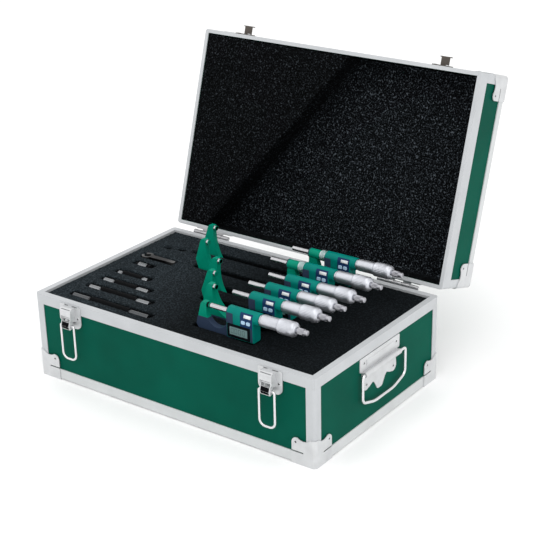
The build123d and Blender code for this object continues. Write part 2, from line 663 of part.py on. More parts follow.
def micrometer_thimble(size):
    """Hollow thimble: a slim bevelled front, a thicker grip and the ratchet stop behind it."""
    x = size + THIMBLE_X + extra(size)
    end = x + THIMBLE_LEN
    tip = end + RATCHET_LEN
    grip = x + THIMBLE_FRONT_LEN
    bore = SHANK_R + PIN_FIT
    deep = x + THIMBLE_CAVITY
    front, neck = THIMBLE_FRONT_R, RATCHET_R - 1.0
    return turned((x, THIMBLE_BORE), (x, THIMBLE_BORE + 0.3), (x + 3, front), (grip, front),
                  (grip + 1.5, THIMBLE_R), (end - 5, THIMBLE_R), (end - 1.5, THIMBLE_R - 1.2),
                  (end, RATCHET_R + 1.6), (end, neck), (end + 1.6, neck), (end + 1.6, RATCHET_R),
                  (tip - 5, RATCHET_R), (tip - 5, RATCHET_R - 0.5), (tip - 0.6, RATCHET_R - 0.5),
                  (tip, RATCHET_R - 1.1), (tip, 0), (deep + 6, 0), (deep + 6, bore), (deep, bore),
                  (deep, THIMBLE_BORE))


def make_micrometers():
    """Six micrometers, each a frame, a housing, a spindle and a thimble."""
    for index, (size, x, y, height, drop) in enumerate(MICROMETERS, start=1):
        where = Pos(x, y, BASE_H + height)
        frame = micrometer_frame(size, drop)
        add(f"micrometer_{index}_frame", [frame], where)
        add(f"micrometer_{index}_housing", [micrometer_housing(size, frame)], where)
        add(f"micrometer_{index}_spindle", [micrometer_spindle(size)], where)
        add(f"micrometer_{index}_thimble", [micrometer_thimble(size)], where)


# ---------------------------------------------------------------- standards and spanner
def setting_standard(length):
    """Gauge rod with rounded ends and a thicker grip in the middle."""
    share = GRIP_LAST_SHARE if length == STANDARDS[-1][0] else GRIP_SHARE
    half = length / 2
    grip = half * share
    return turned((-half, 0), (-half, STANDARD_R - 0.8), (0.8 - half, STANDARD_R),
                  (-grip, STANDARD_R), (-grip, GRIP_R - 0.5), (0.5 - grip, GRIP_R), (grip - 0.5, GRIP_R),
                  (grip, GRIP_R - 0.5), (grip, STANDARD_R), (half - 0.8, STANDARD_R),
                  (half, STANDARD_R - 0.8), (half, 0))


def spanner():
    """Flat hook spanner: open ring at the left, tapered bar, round end."""
    head = Circle(SPANNER_HEAD_R) - Circle(SPANNER_HOOK_R)
    mouth = outline((0, 0), (-20, 14), (-20, -4))
    head = head - mouth
    reach = SPANNER_LEN - SPANNER_HEAD_R
    half = SPANNER_BAR_W / 2
    bar = outline((SPANNER_HOOK_R + 0.6, -half - 0.8), (reach - half, -half), (reach - half, half),
                  (SPANNER_HOOK_R + 0.6, half + 0.8))
    flat = head + bar + Pos(reach - half, 0) * Circle(half)
    return extrude(flat, SPANNER_T)


def make_loose_items():
    """Setting standards and spanner where they lie in the tray."""
    for index, (length, y) in enumerate(STANDARDS, start=1):
        where = Pos(STANDARD_LEFT + length / 2, y, FOAM_TOP - GRIP_R)
        add(f"setting_standard_{index}", [setting_standard(length)], where)
    where = Pos(SPANNER_LEFT + SPANNER_HEAD_R, SPANNER_Y, FOAM_TOP - SPANNER_T)
    add("spanner", [spanner()], where)


# ---------------------------------------------------------------- foam
def trenches():
    """Plan of the trench under each micrometer, with the height of its floor: x0, x1, y0, y1, z."""
    rows = []
    for size, x, y, height, drop in MICROMETERS:
        outer_r, centre = bow_reach(size)[1:]
        reach = outer_r + SLOT_CLEAR
        wide = FRAME_T / 2 + COVER_T + SLOT_CLEAR
        bottom = BASE_H + height - drop - outer_r - LID_GAP
        rows.append((x + centre - reach, x + centre + reach, y - wide, y + wide, bottom))
    return rows


def recesses():
    """Plan of every shallow cut in the top layer, with the height of its floor."""
    rows = []
    for length, y in STANDARDS:
        right = STANDARD_LEFT + length + STANDARD_TAIL
        rows.append((STANDARD_LEFT - 3, right, y - STANDARD_SLOT, y + STANDARD_SLOT, LAYER_Z))
    size, x, y = MICROMETERS[0][:3]
    wide = HOUSING_R + 1
    rows.append((x + size + HOUSING_X - 1, x + size + THIMBLE_X - NOSE_LEN, y - wide, y + wide, LAYER_Z))
    reach = SPANNER_HEAD_R + 1.5
    right = SPANNER_LEFT + SPANNER_LEN + 2
    floor = FOAM_TOP - SPANNER_T - LID_GAP
    rows.append((SPANNER_LEFT - 1.5, right, SPANNER_Y - reach, SPANNER_Y + reach, floor))
    long, wide, deep = SPARE_POCKET_SIZE
    for x, y in SPARE_POCKETS:
        rows.append((x - long / 2, x + long / 2, y - wide / 2, y + wide / 2, FOAM_TOP - deep))
    return rows


def layer(holes, z0, z1):
    """Foam layer with square-cut holes, as blocks that meet between the holes."""
    half = CASE_W / 2 - FOAM_EDGE
    cuts = {FOAM_EDGE, CASE_D - FOAM_EDGE}
    cuts.update(y for hole in holes for y in hole[2:4])
    cuts = sorted(cuts)
    blocks = []
    for y0, y1 in zip(cuts, cuts[1:]):
        x = -half
        for hole in sorted(h for h in holes if h[2] <= y0 and h[3] >= y1):
            if hole[0] > x:
                blocks.append(block(x, hole[0], y0, y1, z0, z1))
            x = max(x, hole[1])
        blocks.append(block(x, half, y0, y1, z0, z1))
    return blocks


def tray_foam():
    """Tray foam: a deep layer with the trenches, a top layer with every cut, and raised floors."""
    deep, shallow = trenches(), recesses()
    bottom = SHEET + BOARD
    blocks = layer(deep, bottom, LAYER_Z) + layer(deep + shallow, LAYER_Z, FOAM_TOP)
    blocks += [block(x0, x1, y0, y1, bottom, z) for x0, x1, y0, y1, z in deep]
    blocks += [block(x0, x1, y0, y1, LAYER_Z, z) for x0, x1, y0, y1, z in shallow if z > LAYER_Z]
    return blocks


def lid_foam():
    """Foam liner drawn with the lid closed: a backing sheet, a block at the left and thin edge strips.

    The space that they leave is a deep pocket with a slanted side.
    """
    half = CASE_W / 2 - LID_FOAM_EDGE
    outer_rear = CASE_D - LID_FOAM_EDGE
    front, rear = POCKET_EDGE, CASE_D - POCKET_EDGE
    right = CASE_W / 2 - POCKET_EDGE
    z0 = BASE_H + LID_GAP + LID_FOAM_DROP
    z1 = z0 + POCKET_DEPTH
    rear_x = POCKET_FRONT_X - POCKET_SLANT * (rear - front)
    corner_x = POCKET_FRONT_X - POCKET_SLANT * (outer_rear - front)
    left_side = outline((-half, LID_FOAM_EDGE), (POCKET_FRONT_X, LID_FOAM_EDGE), (POCKET_FRONT_X, front),
                        (corner_x, outer_rear), (-half, outer_rear))
    rear_side = outline((rear_x, rear), (half, rear), (half, outer_rear), (corner_x, outer_rear))
    return [
        block(-half, half, LID_FOAM_EDGE, outer_rear, z1, LID_TOP - SHEET - BOARD),
        Pos(0, 0, z0) * extrude(left_side, POCKET_DEPTH),
        Pos(0, 0, z0) * extrude(rear_side, POCKET_DEPTH),
        block(POCKET_FRONT_X, half, LID_FOAM_EDGE, front, z0, z1),
        block(right, half, front, rear, z0, z1),
    ]


# ---------------------------------------------------------------- build
def make_case():
    """Both shells with their hardware, foam and rivets."""
    make_shell("base", "bottom", BASE_H, base_rim_profile(), RIM_FACE, POST_FACE, EDGE_FACE, None)
    lid_place = LID_SWING * LID_FLIP
    make_shell("lid", "top", LID_H, lid_rim_profile(), LID_RIM_FACE, LID_POST_FACE, LID_EDGE_FACE,
               lid_place)
    make_hinges()
    make_latches()
    make_handles()
    base_heads = four_corners(cap_rivets()) + leaf_rivets(-1) + latch_rivets() + handle_rivets()
    add("base_rivets", base_heads)
    lid_heads = [LID_FLIP * head for head in four_corners(cap_rivets())]
    add("lid_rivets", lid_heads + leaf_rivets(1) + strike_rivets(), LID_SWING)
    add("tray_foam", tray_foam())
    add("lid_foam", lid_foam(), LID_SWING)


def main():
    os.makedirs("parts", exist_ok=True)
    make_case()
    make_micrometers()
    make_loose_items()
    for node, solids in parts.items():
        shape = solids[0] if len(solids) == 1 else Compound(children=solids)
        export_step(shape, f"parts/{node}.step")


main()
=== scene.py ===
"""Looks of the micrometer case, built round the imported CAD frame.

Lengths are in metres in the row frame: +Z up, the latches on the -Y side.
"""
import math
import random
from collections import namedtuple

import bmesh
import bpy
from mathutils import Matrix, Vector


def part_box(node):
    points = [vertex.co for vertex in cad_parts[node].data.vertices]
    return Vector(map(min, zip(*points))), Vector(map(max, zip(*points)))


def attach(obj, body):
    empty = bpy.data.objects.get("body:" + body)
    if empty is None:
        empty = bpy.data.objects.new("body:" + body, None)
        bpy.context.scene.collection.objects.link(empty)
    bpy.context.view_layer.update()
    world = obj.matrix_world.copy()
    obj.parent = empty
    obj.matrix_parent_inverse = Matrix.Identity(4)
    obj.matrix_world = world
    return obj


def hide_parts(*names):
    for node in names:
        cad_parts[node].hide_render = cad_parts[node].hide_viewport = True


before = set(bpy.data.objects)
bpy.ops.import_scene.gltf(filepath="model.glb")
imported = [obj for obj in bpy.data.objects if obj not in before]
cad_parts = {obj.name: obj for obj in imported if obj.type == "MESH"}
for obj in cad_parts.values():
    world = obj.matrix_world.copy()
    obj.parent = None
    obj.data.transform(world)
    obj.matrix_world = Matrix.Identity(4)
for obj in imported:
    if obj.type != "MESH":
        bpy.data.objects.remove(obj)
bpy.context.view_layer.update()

MM = 0.001
FOAM_SEED = 7
random.seed(FOAM_SEED)

# ---------------------------------------------------------------- dimensions
# Case: the open lid's lean from upright, the direction from its mouth to its top panel, and how far
# the inner board faces lie at least from a shell's middle
LID_LEAN = math.radians(17.3)
LID_DEPTH_AXIS = (0.0, math.cos(LID_LEAN), -math.sin(LID_LEAN))
LINING_DEPTH = 20.0 * MM

# Widths of the softened edges on shapes that stay as the CAD has them
EXTRUSION_EDGE = 0.35 * MM
SHEET_EDGE = 0.25 * MM
HOUSING_EDGE = 0.5 * MM
FRAME_EDGE = 0.8 * MM
SPANNER_EDGE = 0.3 * MM

# Foam: grid size, how much it is smoothed, depth of the uneven skin, and how far a point moves out, as
# shares of that depth
FOAM_VOXEL = 2.2 * MM
FOAM_SMOOTHING = 0.5
FOAM_ROUNDS = 2
FOAM_ROUGH = 0.5 * MM
FOAM_SWELL = (-1.0, 0.15)

# Rivets: (height, radius) in mm, from under the head over its dome and down into its pit
RIVET_DOME = ((-0.05, 2.2), (0.25, 2.2), (0.5, 2.0), (0.68, 1.7), (0.76, 1.5))
RIVET_PIT = ((0.74, 1.4), (0.5, 1.25), (0.2, 0.9))
RIVET_STEPS = 20
RIVET_SHARP_ANGLE = 50

# Latches: how far a lever stands out from the wall, and how far its top lies under the base's rim
LEVER_OUT = 12.4 * MM
LEVER_DOWN = 14.3 * MM
# The strips of painted shade in mm: ends in x from the latch's middle, and paths in y from the wall and
# in z from the base's rim
PULL_SHADE_ENDS = (-5.9, 5.9)
PULL_SHADE_PATH = ((-10.86, -21.7), (-12.38, -26.75), (-12.38, -27.3), (-11.42, -30.6))
SLOT_SHADOW_ENDS = ((-9.0, -3.5), (3.5, 12.0))
SLOT_SHADOW_PATH = ((-1.25, -3.4), (-1.25, -2.7))

# Words in the names below. LIFT: how far a piece stands over the surface under it. SUNK: how far its
# root lies inside. FRONT, END and GROOVE: turned steps in mm, each (how far past a place along the axis,
# how far over a radius). GRIP: rows of points along a ribbed stretch. RIBS: their depth, as a share of
# the radius, and their number.

# Micrometers: the frame with its anvil, collar and lock ring. ARM_FACE and RING_X count from the anvil's
# face plus the range's start, and BOW_DROPS from the measuring axis down to the bows' middles. COVER_RISE
# is how much higher the slate cover of the smallest one reaches
MICROMETER_COUNT = 6
RANGES = (0.0, 25.0, 50.0, 75.0, 100.0, 125.0)
LONG_FROM = 100.0
OPENING = 1.0 * MM
ANVIL_OUT = 4.0 * MM
ARM_FACE = 27.8 * MM
BOW_DROPS = (9.0 * MM, 8.0 * MM, 14.0 * MM, 14.0 * MM, 4.5 * MM, 4.5 * MM)
COVER_RISE = 9.0 * MM
BOSS_R = 6.0 * MM
SPINDLE_R = 3.25 * MM
ANVIL_LIFT = 0.05 * MM
ANVIL_SUNK = 0.1 * MM
ANVIL_END = ((-1.0, 0.0), (-0.95, -0.15), (-0.2, -0.15), (0.0, -0.4))
COLLAR_LEN = 1.5 * MM
COLLAR_LIFT = 0.25 * MM
COLLAR_OUT = 0.4 * MM
COLLAR_FRONT = ((0.0, -2.4), (0.0, -0.5), (0.4, 0.0))
COLLAR_END = ((-0.2, 0.0), (0.0, -0.3))
RING_X = 45.5 * MM
RING_LEN = 8.5 * MM
RING_R = 6.9 * MM
RING_LIFT = 0.12 * MM
RING_FRONT = ((0.0, -0.5), (0.4, 0.0))
RING_END = ((-0.4, 0.0), (0.0, -0.5))
RING_GRIP = (0.9 * MM, 4.8 * MM, RING_LEN - 0.9 * MM)
RING_RIBS = (0.03, 40)

# Micrometers: the housing and its sleeve
HOUSING_R = 7.8 * MM
NOSE_LEN = 7.2 * MM
SLEEVE_R = 6.2 * MM
SLEEVE_LEN = 31.0 * MM
SLEEVE_LIFT = 0.06 * MM
SLEEVE_SUNK = 1.0 * MM
SLEEVE_FRONT = ((0.0, -0.4), (0.02, 0.0))
SLEEVE_END = ((-0.5, 0.0), (0.0, -0.4))

# Micrometers: printed lines on the sleeve and on the thimble's bevel; every fifth one is long
LONG_EVERY = 5
LINE_LIFT = 0.03 * MM
READING_LINE = (1.5 * MM, 27.0 * MM)
READING_HALF = 0.09 * MM
READING_ANGLE = math.radians(215)
SLEEVE_MARKS = 26
FIRST_MARK = 1.6 * MM
MARK_HALF = 0.07 * MM
MARK_SHORT = 1.6 * MM
MARK_LONG = 2.6 * MM
DIVISIONS = 50
DIVISION_HALF = 0.10 * MM
DIVISION_START = 0.25 * MM
DIVISION_SHORT = 2.0 * MM
DIVISION_LONG = 2.9 * MM

# Micrometers: the thimble and its ratchet
THIMBLE_R = 9.1 * MM
THIMBLE_LEN = 49.5 * MM
FRONT_R = 7.6 * MM
FRONT_EDGE_R = 7.0 * MM
FRONT_LEN = 25.0 * MM
FRONT_GROOVE = ((-1.2, 0.0), (-1.0, -0.2), (-0.3, -0.2), (0.0, 0.0))
SHOULDER_LEN = 1.5 * MM
THIMBLE_BORE_EDGE = 6.75 * MM
BEVEL_START = 0.05 * MM
BEVEL_LEN = 3.0 * MM
THIMBLE_END = ((-5.0, 0.0), (-3.0, -0.3), (-1.5, -1.2), (-0.3, -3.2), (0.0, -3.8))
THIMBLE_GRIP = (27.5 * MM, 33.0 * MM, 38.0 * MM, 42.7 * MM)
THIMBLE_RIBS = (0.03, 32)
RATCHET_R = 3.9 * MM
RATCHET_LEN = 15.0 * MM
RATCHET_START = 1.6 * MM
RATCHET_SUNK = 0.5 * MM
RATCHET_FRONT = ((0.0, -0.3), (0.4, 0.0))
RATCHET_END = ((-5.0, 0.0), (-5.0, -0.5), (-0.6, -0.5), (-0.1, -1.0), (0.0, -1.4))
RATCHET_GRIP = (2.5 * MM, 6.0 * MM, 9.5 * MM)
RATCHET_RIBS = (0.08, 24)
NECK_R = 2.95 * MM
RIB_EDGE = 0.1 * MM

# Micrometers: the display, x from the bezel's left edge and z from the measuring axis
BEZEL_W = 34.0 * MM
BEZEL_MARGIN = 4.0 * MM
BEZEL_BOTTOM = -29.0 * MM
BEZEL_RECESS = 0.7 * MM
BEZEL_GAP = 0.15 * MM
BEZEL_THICK = 0.9 * MM
BEZEL_CORNER_R = 1.4 * MM
BEZEL_SLOPE_WIDTH = 0.2 * MM
BEZEL_SLOPE_DEPTH = 0.25 * MM
BEZEL_SHARP_ANGLE = 40
FACE_TOP = -12.0 * MM
WINDOW = (3.4 * MM, BEZEL_W - 4.2 * MM, BEZEL_BOTTOM + 3.4 * MM, FACE_TOP - 3.2 * MM)
WINDOW_CORNER_R = 0.8 * MM
GLASS_GAP = 0.05 * MM
GLASS_CORNER_R = 0.7 * MM
GLASS_FLOOR = 0.35 * MM
GLASS_THICK = 0.2 * MM
DIGITS = 4
DIGIT_H = 6.8 * MM
DIGIT_W = 3.8 * MM
DIGIT_STEP = 5.5 * MM
DIGIT_BAR = 0.7 * MM
POINT_GAP = 0.5 * MM
DIGITS_AT = (5.4 * MM, BEZEL_BOTTOM + 5.2 * MM)

# Micrometers: the key panel, x from its left edge. PANEL_TOP, PANEL_STEP, LOCK_TOP and PLATE_ANGLES are
# degrees round the housing's shoulder, and a RISE is how far a piece stands over the panel
PANEL_W = 17.5 * MM
PANEL_INSET = 0.7 * MM
PANEL_GAP = 0.6 * MM
PANEL_LIFT = 0.35 * MM
PANEL_THICK = 0.8 * MM
PANEL_TOP = 48
PANEL_STEP = 6
LOCK_W = 9.5 * MM
LOCK_TOP = 12
LOCK_INSET = 0.3 * MM
LONG_LOCK_INSET = 0.5 * MM
BORDER_INSET = 0.3 * MM
BORDER_GAP = 0.2 * MM
BORDER_CORNER_R = 0.5 * MM
PAD_SUNK = 0.1 * MM
PAD_EDGE = 0.2 * MM
KEYS = {"key_left": 1.8 * MM, "key_right": 9.2 * MM}
KEY_W = 5.6 * MM
KEY_LEVELS = (-8.0 * MM, -3.6 * MM)
KEY_RISE = 0.8 * MM
KEY_CORNER_R = 1.4 * MM
PLATE_EDGES = (5.4 * MM, PANEL_W - 1.8 * MM)
PLATE_ANGLES = (3, 10, 17, 24, 31)
PLATE_RISE = 0.12 * MM
PLATE_THICK = 0.3 * MM

# Setting standards; a grip's share is its part of the length, and a rib is (share of the pitch, depth
# in mm)
STANDARD_COUNT = 5
STANDARD_R = 4.2 * MM
ROD_GROOVE = ((1.0, 0.0), (1.2, -0.4), (2.0, -0.4), (2.2, 0.0))
ROD_END = ((-0.8, 0.0), (-0.25, -0.4), (0.0, -0.9))
GRIP_R = 5.4 * MM
GRIP_SHARES = (0.52, 0.60, 0.50, 0.66, 0.56)
GRIP_END = ((-0.5, 0.0), (0.0, -0.5))
RIB_PITCH = 2.5 * MM
RIB_MARGIN = 1.0 * MM
RIB_SHAPE = ((0.0, 0.0), (0.55, 0.0), (0.62, 0.3), (0.93, 0.3))

# Mesh making; here and above, a SHARP_ANGLE is in degrees
WELD_REACH = 0.01 * MM
BEVEL_WELD = 0.004 * MM
BEVEL_SEGMENTS = 2
SHARP_ANGLE = 35
CORNER_STEPS = 5


# ---------------------------------------------------------------- mesh helpers
def middle(node):
    """Centre of a node's box."""
    low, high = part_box(node)
    return (Vector(low) + Vector(high)) / 2


def new_object(name, verts, faces, material, smooth=True):
    """Mesh object from plain vertices and faces."""
    mesh = bpy.data.meshes.new(name)
    mesh.from_pydata([tuple(v) for v in verts], [], faces)
    mesh.update()
    obj = bpy.data.objects.new(name, mesh)
    bpy.context.scene.collection.objects.link(obj)
    mesh.materials.append(material)
    for poly in mesh.polygons:
        poly.use_smooth = smooth
    return obj


def fix_normals(obj):
    """Point every face outwards."""
    bm = bmesh.new()
    bm.from_mesh(obj.data)
    bmesh.ops.recalc_face_normals(bm, faces=bm.faces)
    bm.to_mesh(obj.data)
    bm.free()


def smooth_by_angle(obj, degrees=SHARP_ANGLE):
    """Smooth shading with sharp edges above the angle."""
    bm = bmesh.new()
    bm.from_mesh(obj.data)
    limit = math.radians(degrees)
    for edge in bm.edges:
        if len(edge.link_faces) == 2:
            edge.smooth = edge.calc_face_angle(0.0) < limit
    for face in bm.faces:
        face.smooth = True
    bm.to_mesh(obj.data)
    bm.free()


def add_bevel(obj, width):
    """Rounded edges on a piece or a CAD node, as a modifier."""
    weld = obj.modifiers.new("weld", "WELD")
    weld.merge_threshold = BEVEL_WELD
    bevel = obj.modifiers.new("edge", "BEVEL")
    bevel.width = width
    bevel.segments = BEVEL_SEGMENTS
    bevel.limit_method = "ANGLE"
    bevel.angle_limit = math.radians(SHARP_ANGLE)
    bevel.use_clamp_overlap = True


def welded(mesh):
    """Editable copy of a tessellated solid, with its doubled vertices joined."""
    bm = bmesh.new()
    bm.from_mesh(mesh)
    bmesh.ops.remove_doubles(bm, verts=bm.verts, dist=WELD_REACH)
    return bm


def tube_faces(rows, count, first=0):
    """Faces that close rows of count vertices each into a capped tube, from vertex number first."""
    faces = []
    for i in range(rows - 1):
        row = first + i * count
        for k in range(count):
            n = (k + 1) % count
            faces.append((row + k, row + n, row + count + n, row + count + k))
    last = first + (rows - 1) * count
    faces.append(tuple(range(first + count - 1, first - 1, -1)))
    faces.append(tuple(range(last, last + count)))
    return faces


def stepped(place, radius, steps):
    """Profile points from steps in mm, each (how far past the place, how far over the radius)."""
    return [(place + along * MM, radius + out * MM) for along, out in steps]


def strip_faces(rows):
    """Faces that join rows of two vertices each."""
    return [(k, k + 1, k + 3, k + 2) for k in range(0, 2 * rows - 2, 2)]


def turned_points(profile, origin, axis, steps, wave=None):
    """Rows of points round an axis; profile is (along, radius), wave(along, angle) scales a radius."""
    side = axis.orthogonal().normalized()
    up = axis.cross(side)
    points = []
    for along, radius in profile:
        for k in range(steps):
            angle = 2 * math.pi * k / steps
            r = radius * (wave(along, angle) if wave else 1.0)
            spoke = side * math.cos(angle) + up * math.sin(angle)
            points.append(origin + axis * along + spoke * r)
    return points


def revolved(name, profile, origin, material, steps, wave=None):
    """Closed solid of revolution along X."""
    verts = turned_points(profile, origin, Vector((1, 0, 0)), steps, wave)
    obj = new_object(name, verts, tube_faces(len(profile), steps), material)
    fix_normals(obj)
    smooth_by_angle(obj)
    return obj


def prism(name, outline, place, depth, material):
    """Flat outline (u, v) raised by depth; place maps (u, v, w) to the row frame."""
    verts = [place(u, v, w) for w in (0.0, depth) for u, v in outline]
    obj = new_object(name, verts, tube_faces(2, len(outline)), material)
    fix_normals(obj)
    smooth_by_angle(obj)
    return obj


def rounded_rectangle(u0, u1, v0, v1, radius):
    """Outline of a rectangle with round corners."""
    points = []
    for cu, cv, start in ((u1 - radius, v1 - radius, 0), (u0 + radius, v1 - radius, 90),
                          (u0 + radius, v0 + radius, 180), (u1 - radius, v0 + radius, 270)):
        for k in range(CORNER_STEPS + 1):
            angle = math.radians(start + 90 * k / CORNER_STEPS)
            points.append((cu + radius * math.cos(angle), cv + radius * math.sin(angle)))
    return points


# ---------------------------------------------------------------- materials
GRINDING = (1, 0.1, 0.1)
DRAWING = (0.05, 0.05, 1.0)
BARE_METAL = 0.95


class Look:
    """A node material under construction; sizes are in mm."""

    def __init__(self, name, color, rough, metal=0.0):
        self.material = bpy.data.materials.new(name)
        self.material.use_nodes = True
        self.tree = self.material.node_tree
        self.bsdf = self.tree.nodes["Principled BSDF"]
        self.set(Base_Color=(*color, 1), Roughness=rough, Metallic=metal)
        self.coords = self.tree.nodes.new("ShaderNodeTexCoord").outputs["Object"]
        self.relief = None

    def feed(self, socket, value):
        """Link an input to another node's output, or set its plain value."""
        if isinstance(value, bpy.types.NodeSocket):
            self.tree.links.new(value, socket)
        else:
            socket.default_value = value

    def fill(self, node, sockets):
        """Feed a node's inputs by name, with underscores for spaces."""
        for key, value in sockets.items():
            self.feed(node.inputs[key.replace("_", " ")], value)
        return node

    def node(self, kind, **sockets):
        """Add a node."""
        return self.fill(self.tree.nodes.new(kind), sockets)

    def set(self, **sockets):
        """Set or link inputs of the shader itself."""
        self.fill(self.bsdf, sockets)

    def maths(self, operation, first, second=0.0):
        """Result of a maths node."""
        node = self.tree.nodes.new("ShaderNodeMath")
        node.operation = operation
        self.feed(node.inputs[0], first)
        self.feed(node.inputs[1], second)
        return node.outputs[0]

    def noise(self, size, detail, rough=0.6, stretch=(1, 1, 1)):
        """Noise whose features are about size wide, on coordinates scaled by stretch."""
        mapping = self.node("ShaderNodeMapping", Vector=self.coords, Scale=stretch)
        node = self.node("ShaderNodeTexNoise", Vector=mapping.outputs["Vector"], Scale=0.6 / (size * MM),
                         Detail=detail, Roughness=rough)
        return node.outputs["Fac"]

    def cells(self, size):
        """Distance to the middle of cells of about size."""
        node = self.node("ShaderNodeTexVoronoi", Vector=self.coords, Scale=1 / (size * MM))
        return node.outputs["Distance"]

    def ramp(self, value, *stops):
        """Colour ramp; stops are (position, colour)."""
        node = self.node("ShaderNodeValToRGB", Fac=value)
        ramp = node.color_ramp
        while len(ramp.elements) < len(stops):
            ramp.elements.new(0.5)
        for element, (position, color) in zip(ramp.elements, stops):
            element.position = position
            element.color = (*color, 1)
        return node.outputs["Color"]

    def mottled(self, color, pattern, darker, lighter, start=0.3):
        """Colour that a pattern varies between darker and lighter shares of itself."""
        return self.ramp(pattern, (start, tint(color, darker)), (1 - start, tint(color, lighter)))

    def level(self, value, low, high):
        """Value from 0..1 mapped to low..high."""
        node = self.node("ShaderNodeMapRange", Value=value, To_Min=low, To_Max=high)
        return node.outputs["Result"]

    def bump(self, height, distance, strength):
        """Stack a bump on those already there."""
        node = self.node("ShaderNodeBump", Height=height, Strength=strength, Distance=distance * MM)
        if self.relief:
            self.tree.links.new(self.relief, node.inputs["Normal"])
        self.relief = node.outputs["Normal"]
        self.set(Normal=self.relief)


def tint(color, factor):
    """Colour times a factor, kept under 1."""
    return tuple(min(1.0, c * factor) for c in color)


def laminate_look():
    """Green leather-grain laminate on the boards."""
    green = (0.0006, 0.074, 0.048)
    look = Look("green_laminate", green, 0.5)
    fine = look.noise(1.1, 3.0)
    look.set(Base_Color=look.mottled(green, look.noise(38.0, 2.0), 0.9, 1.12))
    look.set(Roughness=look.level(fine, 0.38, 0.6), IOR=1.10)
    look.bump(look.cells(1.3), 0.10, 0.5)
    look.bump(fine, 0.05, 0.4)
    return look.material


def aluminium_look(name, base):
    """Satin extruded aluminium with faint drawing lines and scuffs."""
    look = Look(name, base, 0.38, 0.08)
    look.set(Base_Color=look.mottled(base, look.noise(22.0, 4.0), 0.92, 1.05, start=0.25))
    look.set(Roughness=look.level(look.noise(6.0, 4.0), 0.3, 0.52), IOR=1.2)
    look.bump(look.noise(0.7, 2.0, 0.5, DRAWING), 0.02, 0.5)
    look.bump(look.noise(0.25, 2.0), 0.01, 0.4)
    return look.material


def stamped_look():
    """Zinc-plated pressed steel."""
    base = (0.60, 0.61, 0.62)
    look = Look("plated_steel", base, 0.32, 0.4)
    blotch = look.noise(9.0, 5.0)
    look.set(Base_Color=look.mottled(base, blotch, 0.85, 1.08, start=0.2))
    look.set(Roughness=look.level(blotch, 0.22, 0.45))
    look.bump(look.noise(0.9, 3.0), 0.03, 0.4)
    return look.material


def wire_look():
    """Bright plated wire."""
    look = Look("bright_wire", (0.72, 0.72, 0.73), 0.2, BARE_METAL)
    look.set(Roughness=look.level(look.noise(3.0, 4.0), 0.14, 0.32))
    look.bump(look.noise(0.4, 2.0), 0.01, 0.5)
    return look.material


Fade = namedtuple("Fade", "axis start end first last")


def foam_look(name, dark, middling, light, *fades):
    """Open-cell foam: a speckle of pores and cell walls.

    A fade scales the tone from first, at start on its axis, to last, at end.
    """
    look = Look(name, dark, 0.95)
    speckle = look.maths("MULTIPLY", look.cells(1.9), look.noise(1.5, 4.0, 0.75))
    tone = look.ramp(speckle, (0.08, tint(dark, 0.4)), (0.24, dark), (0.38, middling), (0.52, light))
    for fade in fades:
        along = look.node("ShaderNodeVectorMath", Vector=look.coords)
        along.operation = "DOT_PRODUCT"
        along.inputs[1].default_value = fade.axis
        amount = look.node("ShaderNodeMapRange", Value=along.outputs["Value"], From_Min=fade.start,
                           From_Max=fade.end, To_Min=fade.first, To_Max=fade.last)
        scaled = look.node("ShaderNodeVectorMath")
        scaled.operation = "SCALE"
        look.fill(scaled, {"Vector": tone, "Scale": amount.outputs["Result"]})
        tone = scaled.outputs["Vector"]
    look.set(Base_Color=tone, Specular_IOR_Level=0.05)
    look.bump(speckle, 0.9, 0.8)
    return look.material


def enamel_look(name, cover_top):
    """Glossy enamel over a slightly uneven casting, with the slate hand cover below cover_top."""
    look = Look(name, FRAME_GREEN, 0.3)
    green = look.mottled(FRAME_GREEN, look.noise(7.0, 3.0), 0.92, 1.1)
    height = look.node("ShaderNodeSeparateXYZ", Vector=look.coords).outputs["Z"]
    mix = look.tree.nodes.new("ShaderNodeMix")
    mix.data_type = "RGBA"
    above = look.maths("GREATER_THAN", height, cover_top)
    look.fill(mix, {"Factor": above, "A": (*SLATE_COLOR, 1), "B": green})
    look.set(Base_Color=mix.outputs["Result"], IOR=1.15)
    look.set(Roughness=look.level(look.noise(2.5, 3.0), 0.24, 0.42))
    look.bump(look.noise(1.6, 2.0), 0.05, 0.4)
    return look.material


def plastic_look(name, color, rough, specular=0.5):
    """Moulded plastic with a fine spark texture."""
    look = Look(name, color, rough)
    look.set(Base_Color=look.mottled(color, look.noise(9.0, 3.0), 0.93, 1.08))
    look.set(Roughness=look.level(look.noise(1.2, 3.0), rough - 0.08, rough + 0.1))
    look.set(IOR=1.16, Specular_IOR_Level=specular)
    look.bump(look.noise(0.35, 2.0), 0.02, 0.5)
    return look.material


def metal_look(name, base, low, high, lines=(1, 1, 1)):
    """Ground or satin metal, from low to high in roughness; lines stretches the grinding marks."""
    look = Look(name, base, low, BARE_METAL)
    look.set(Base_Color=look.mottled(base, look.noise(5.0, 3.0), 0.94, 1.05))
    look.set(Roughness=look.level(look.noise(2.0, 4.0), low, high))
    look.bump(look.noise(0.3, 2.0, 0.5, lines), 0.01, 0.5)
    return look.material


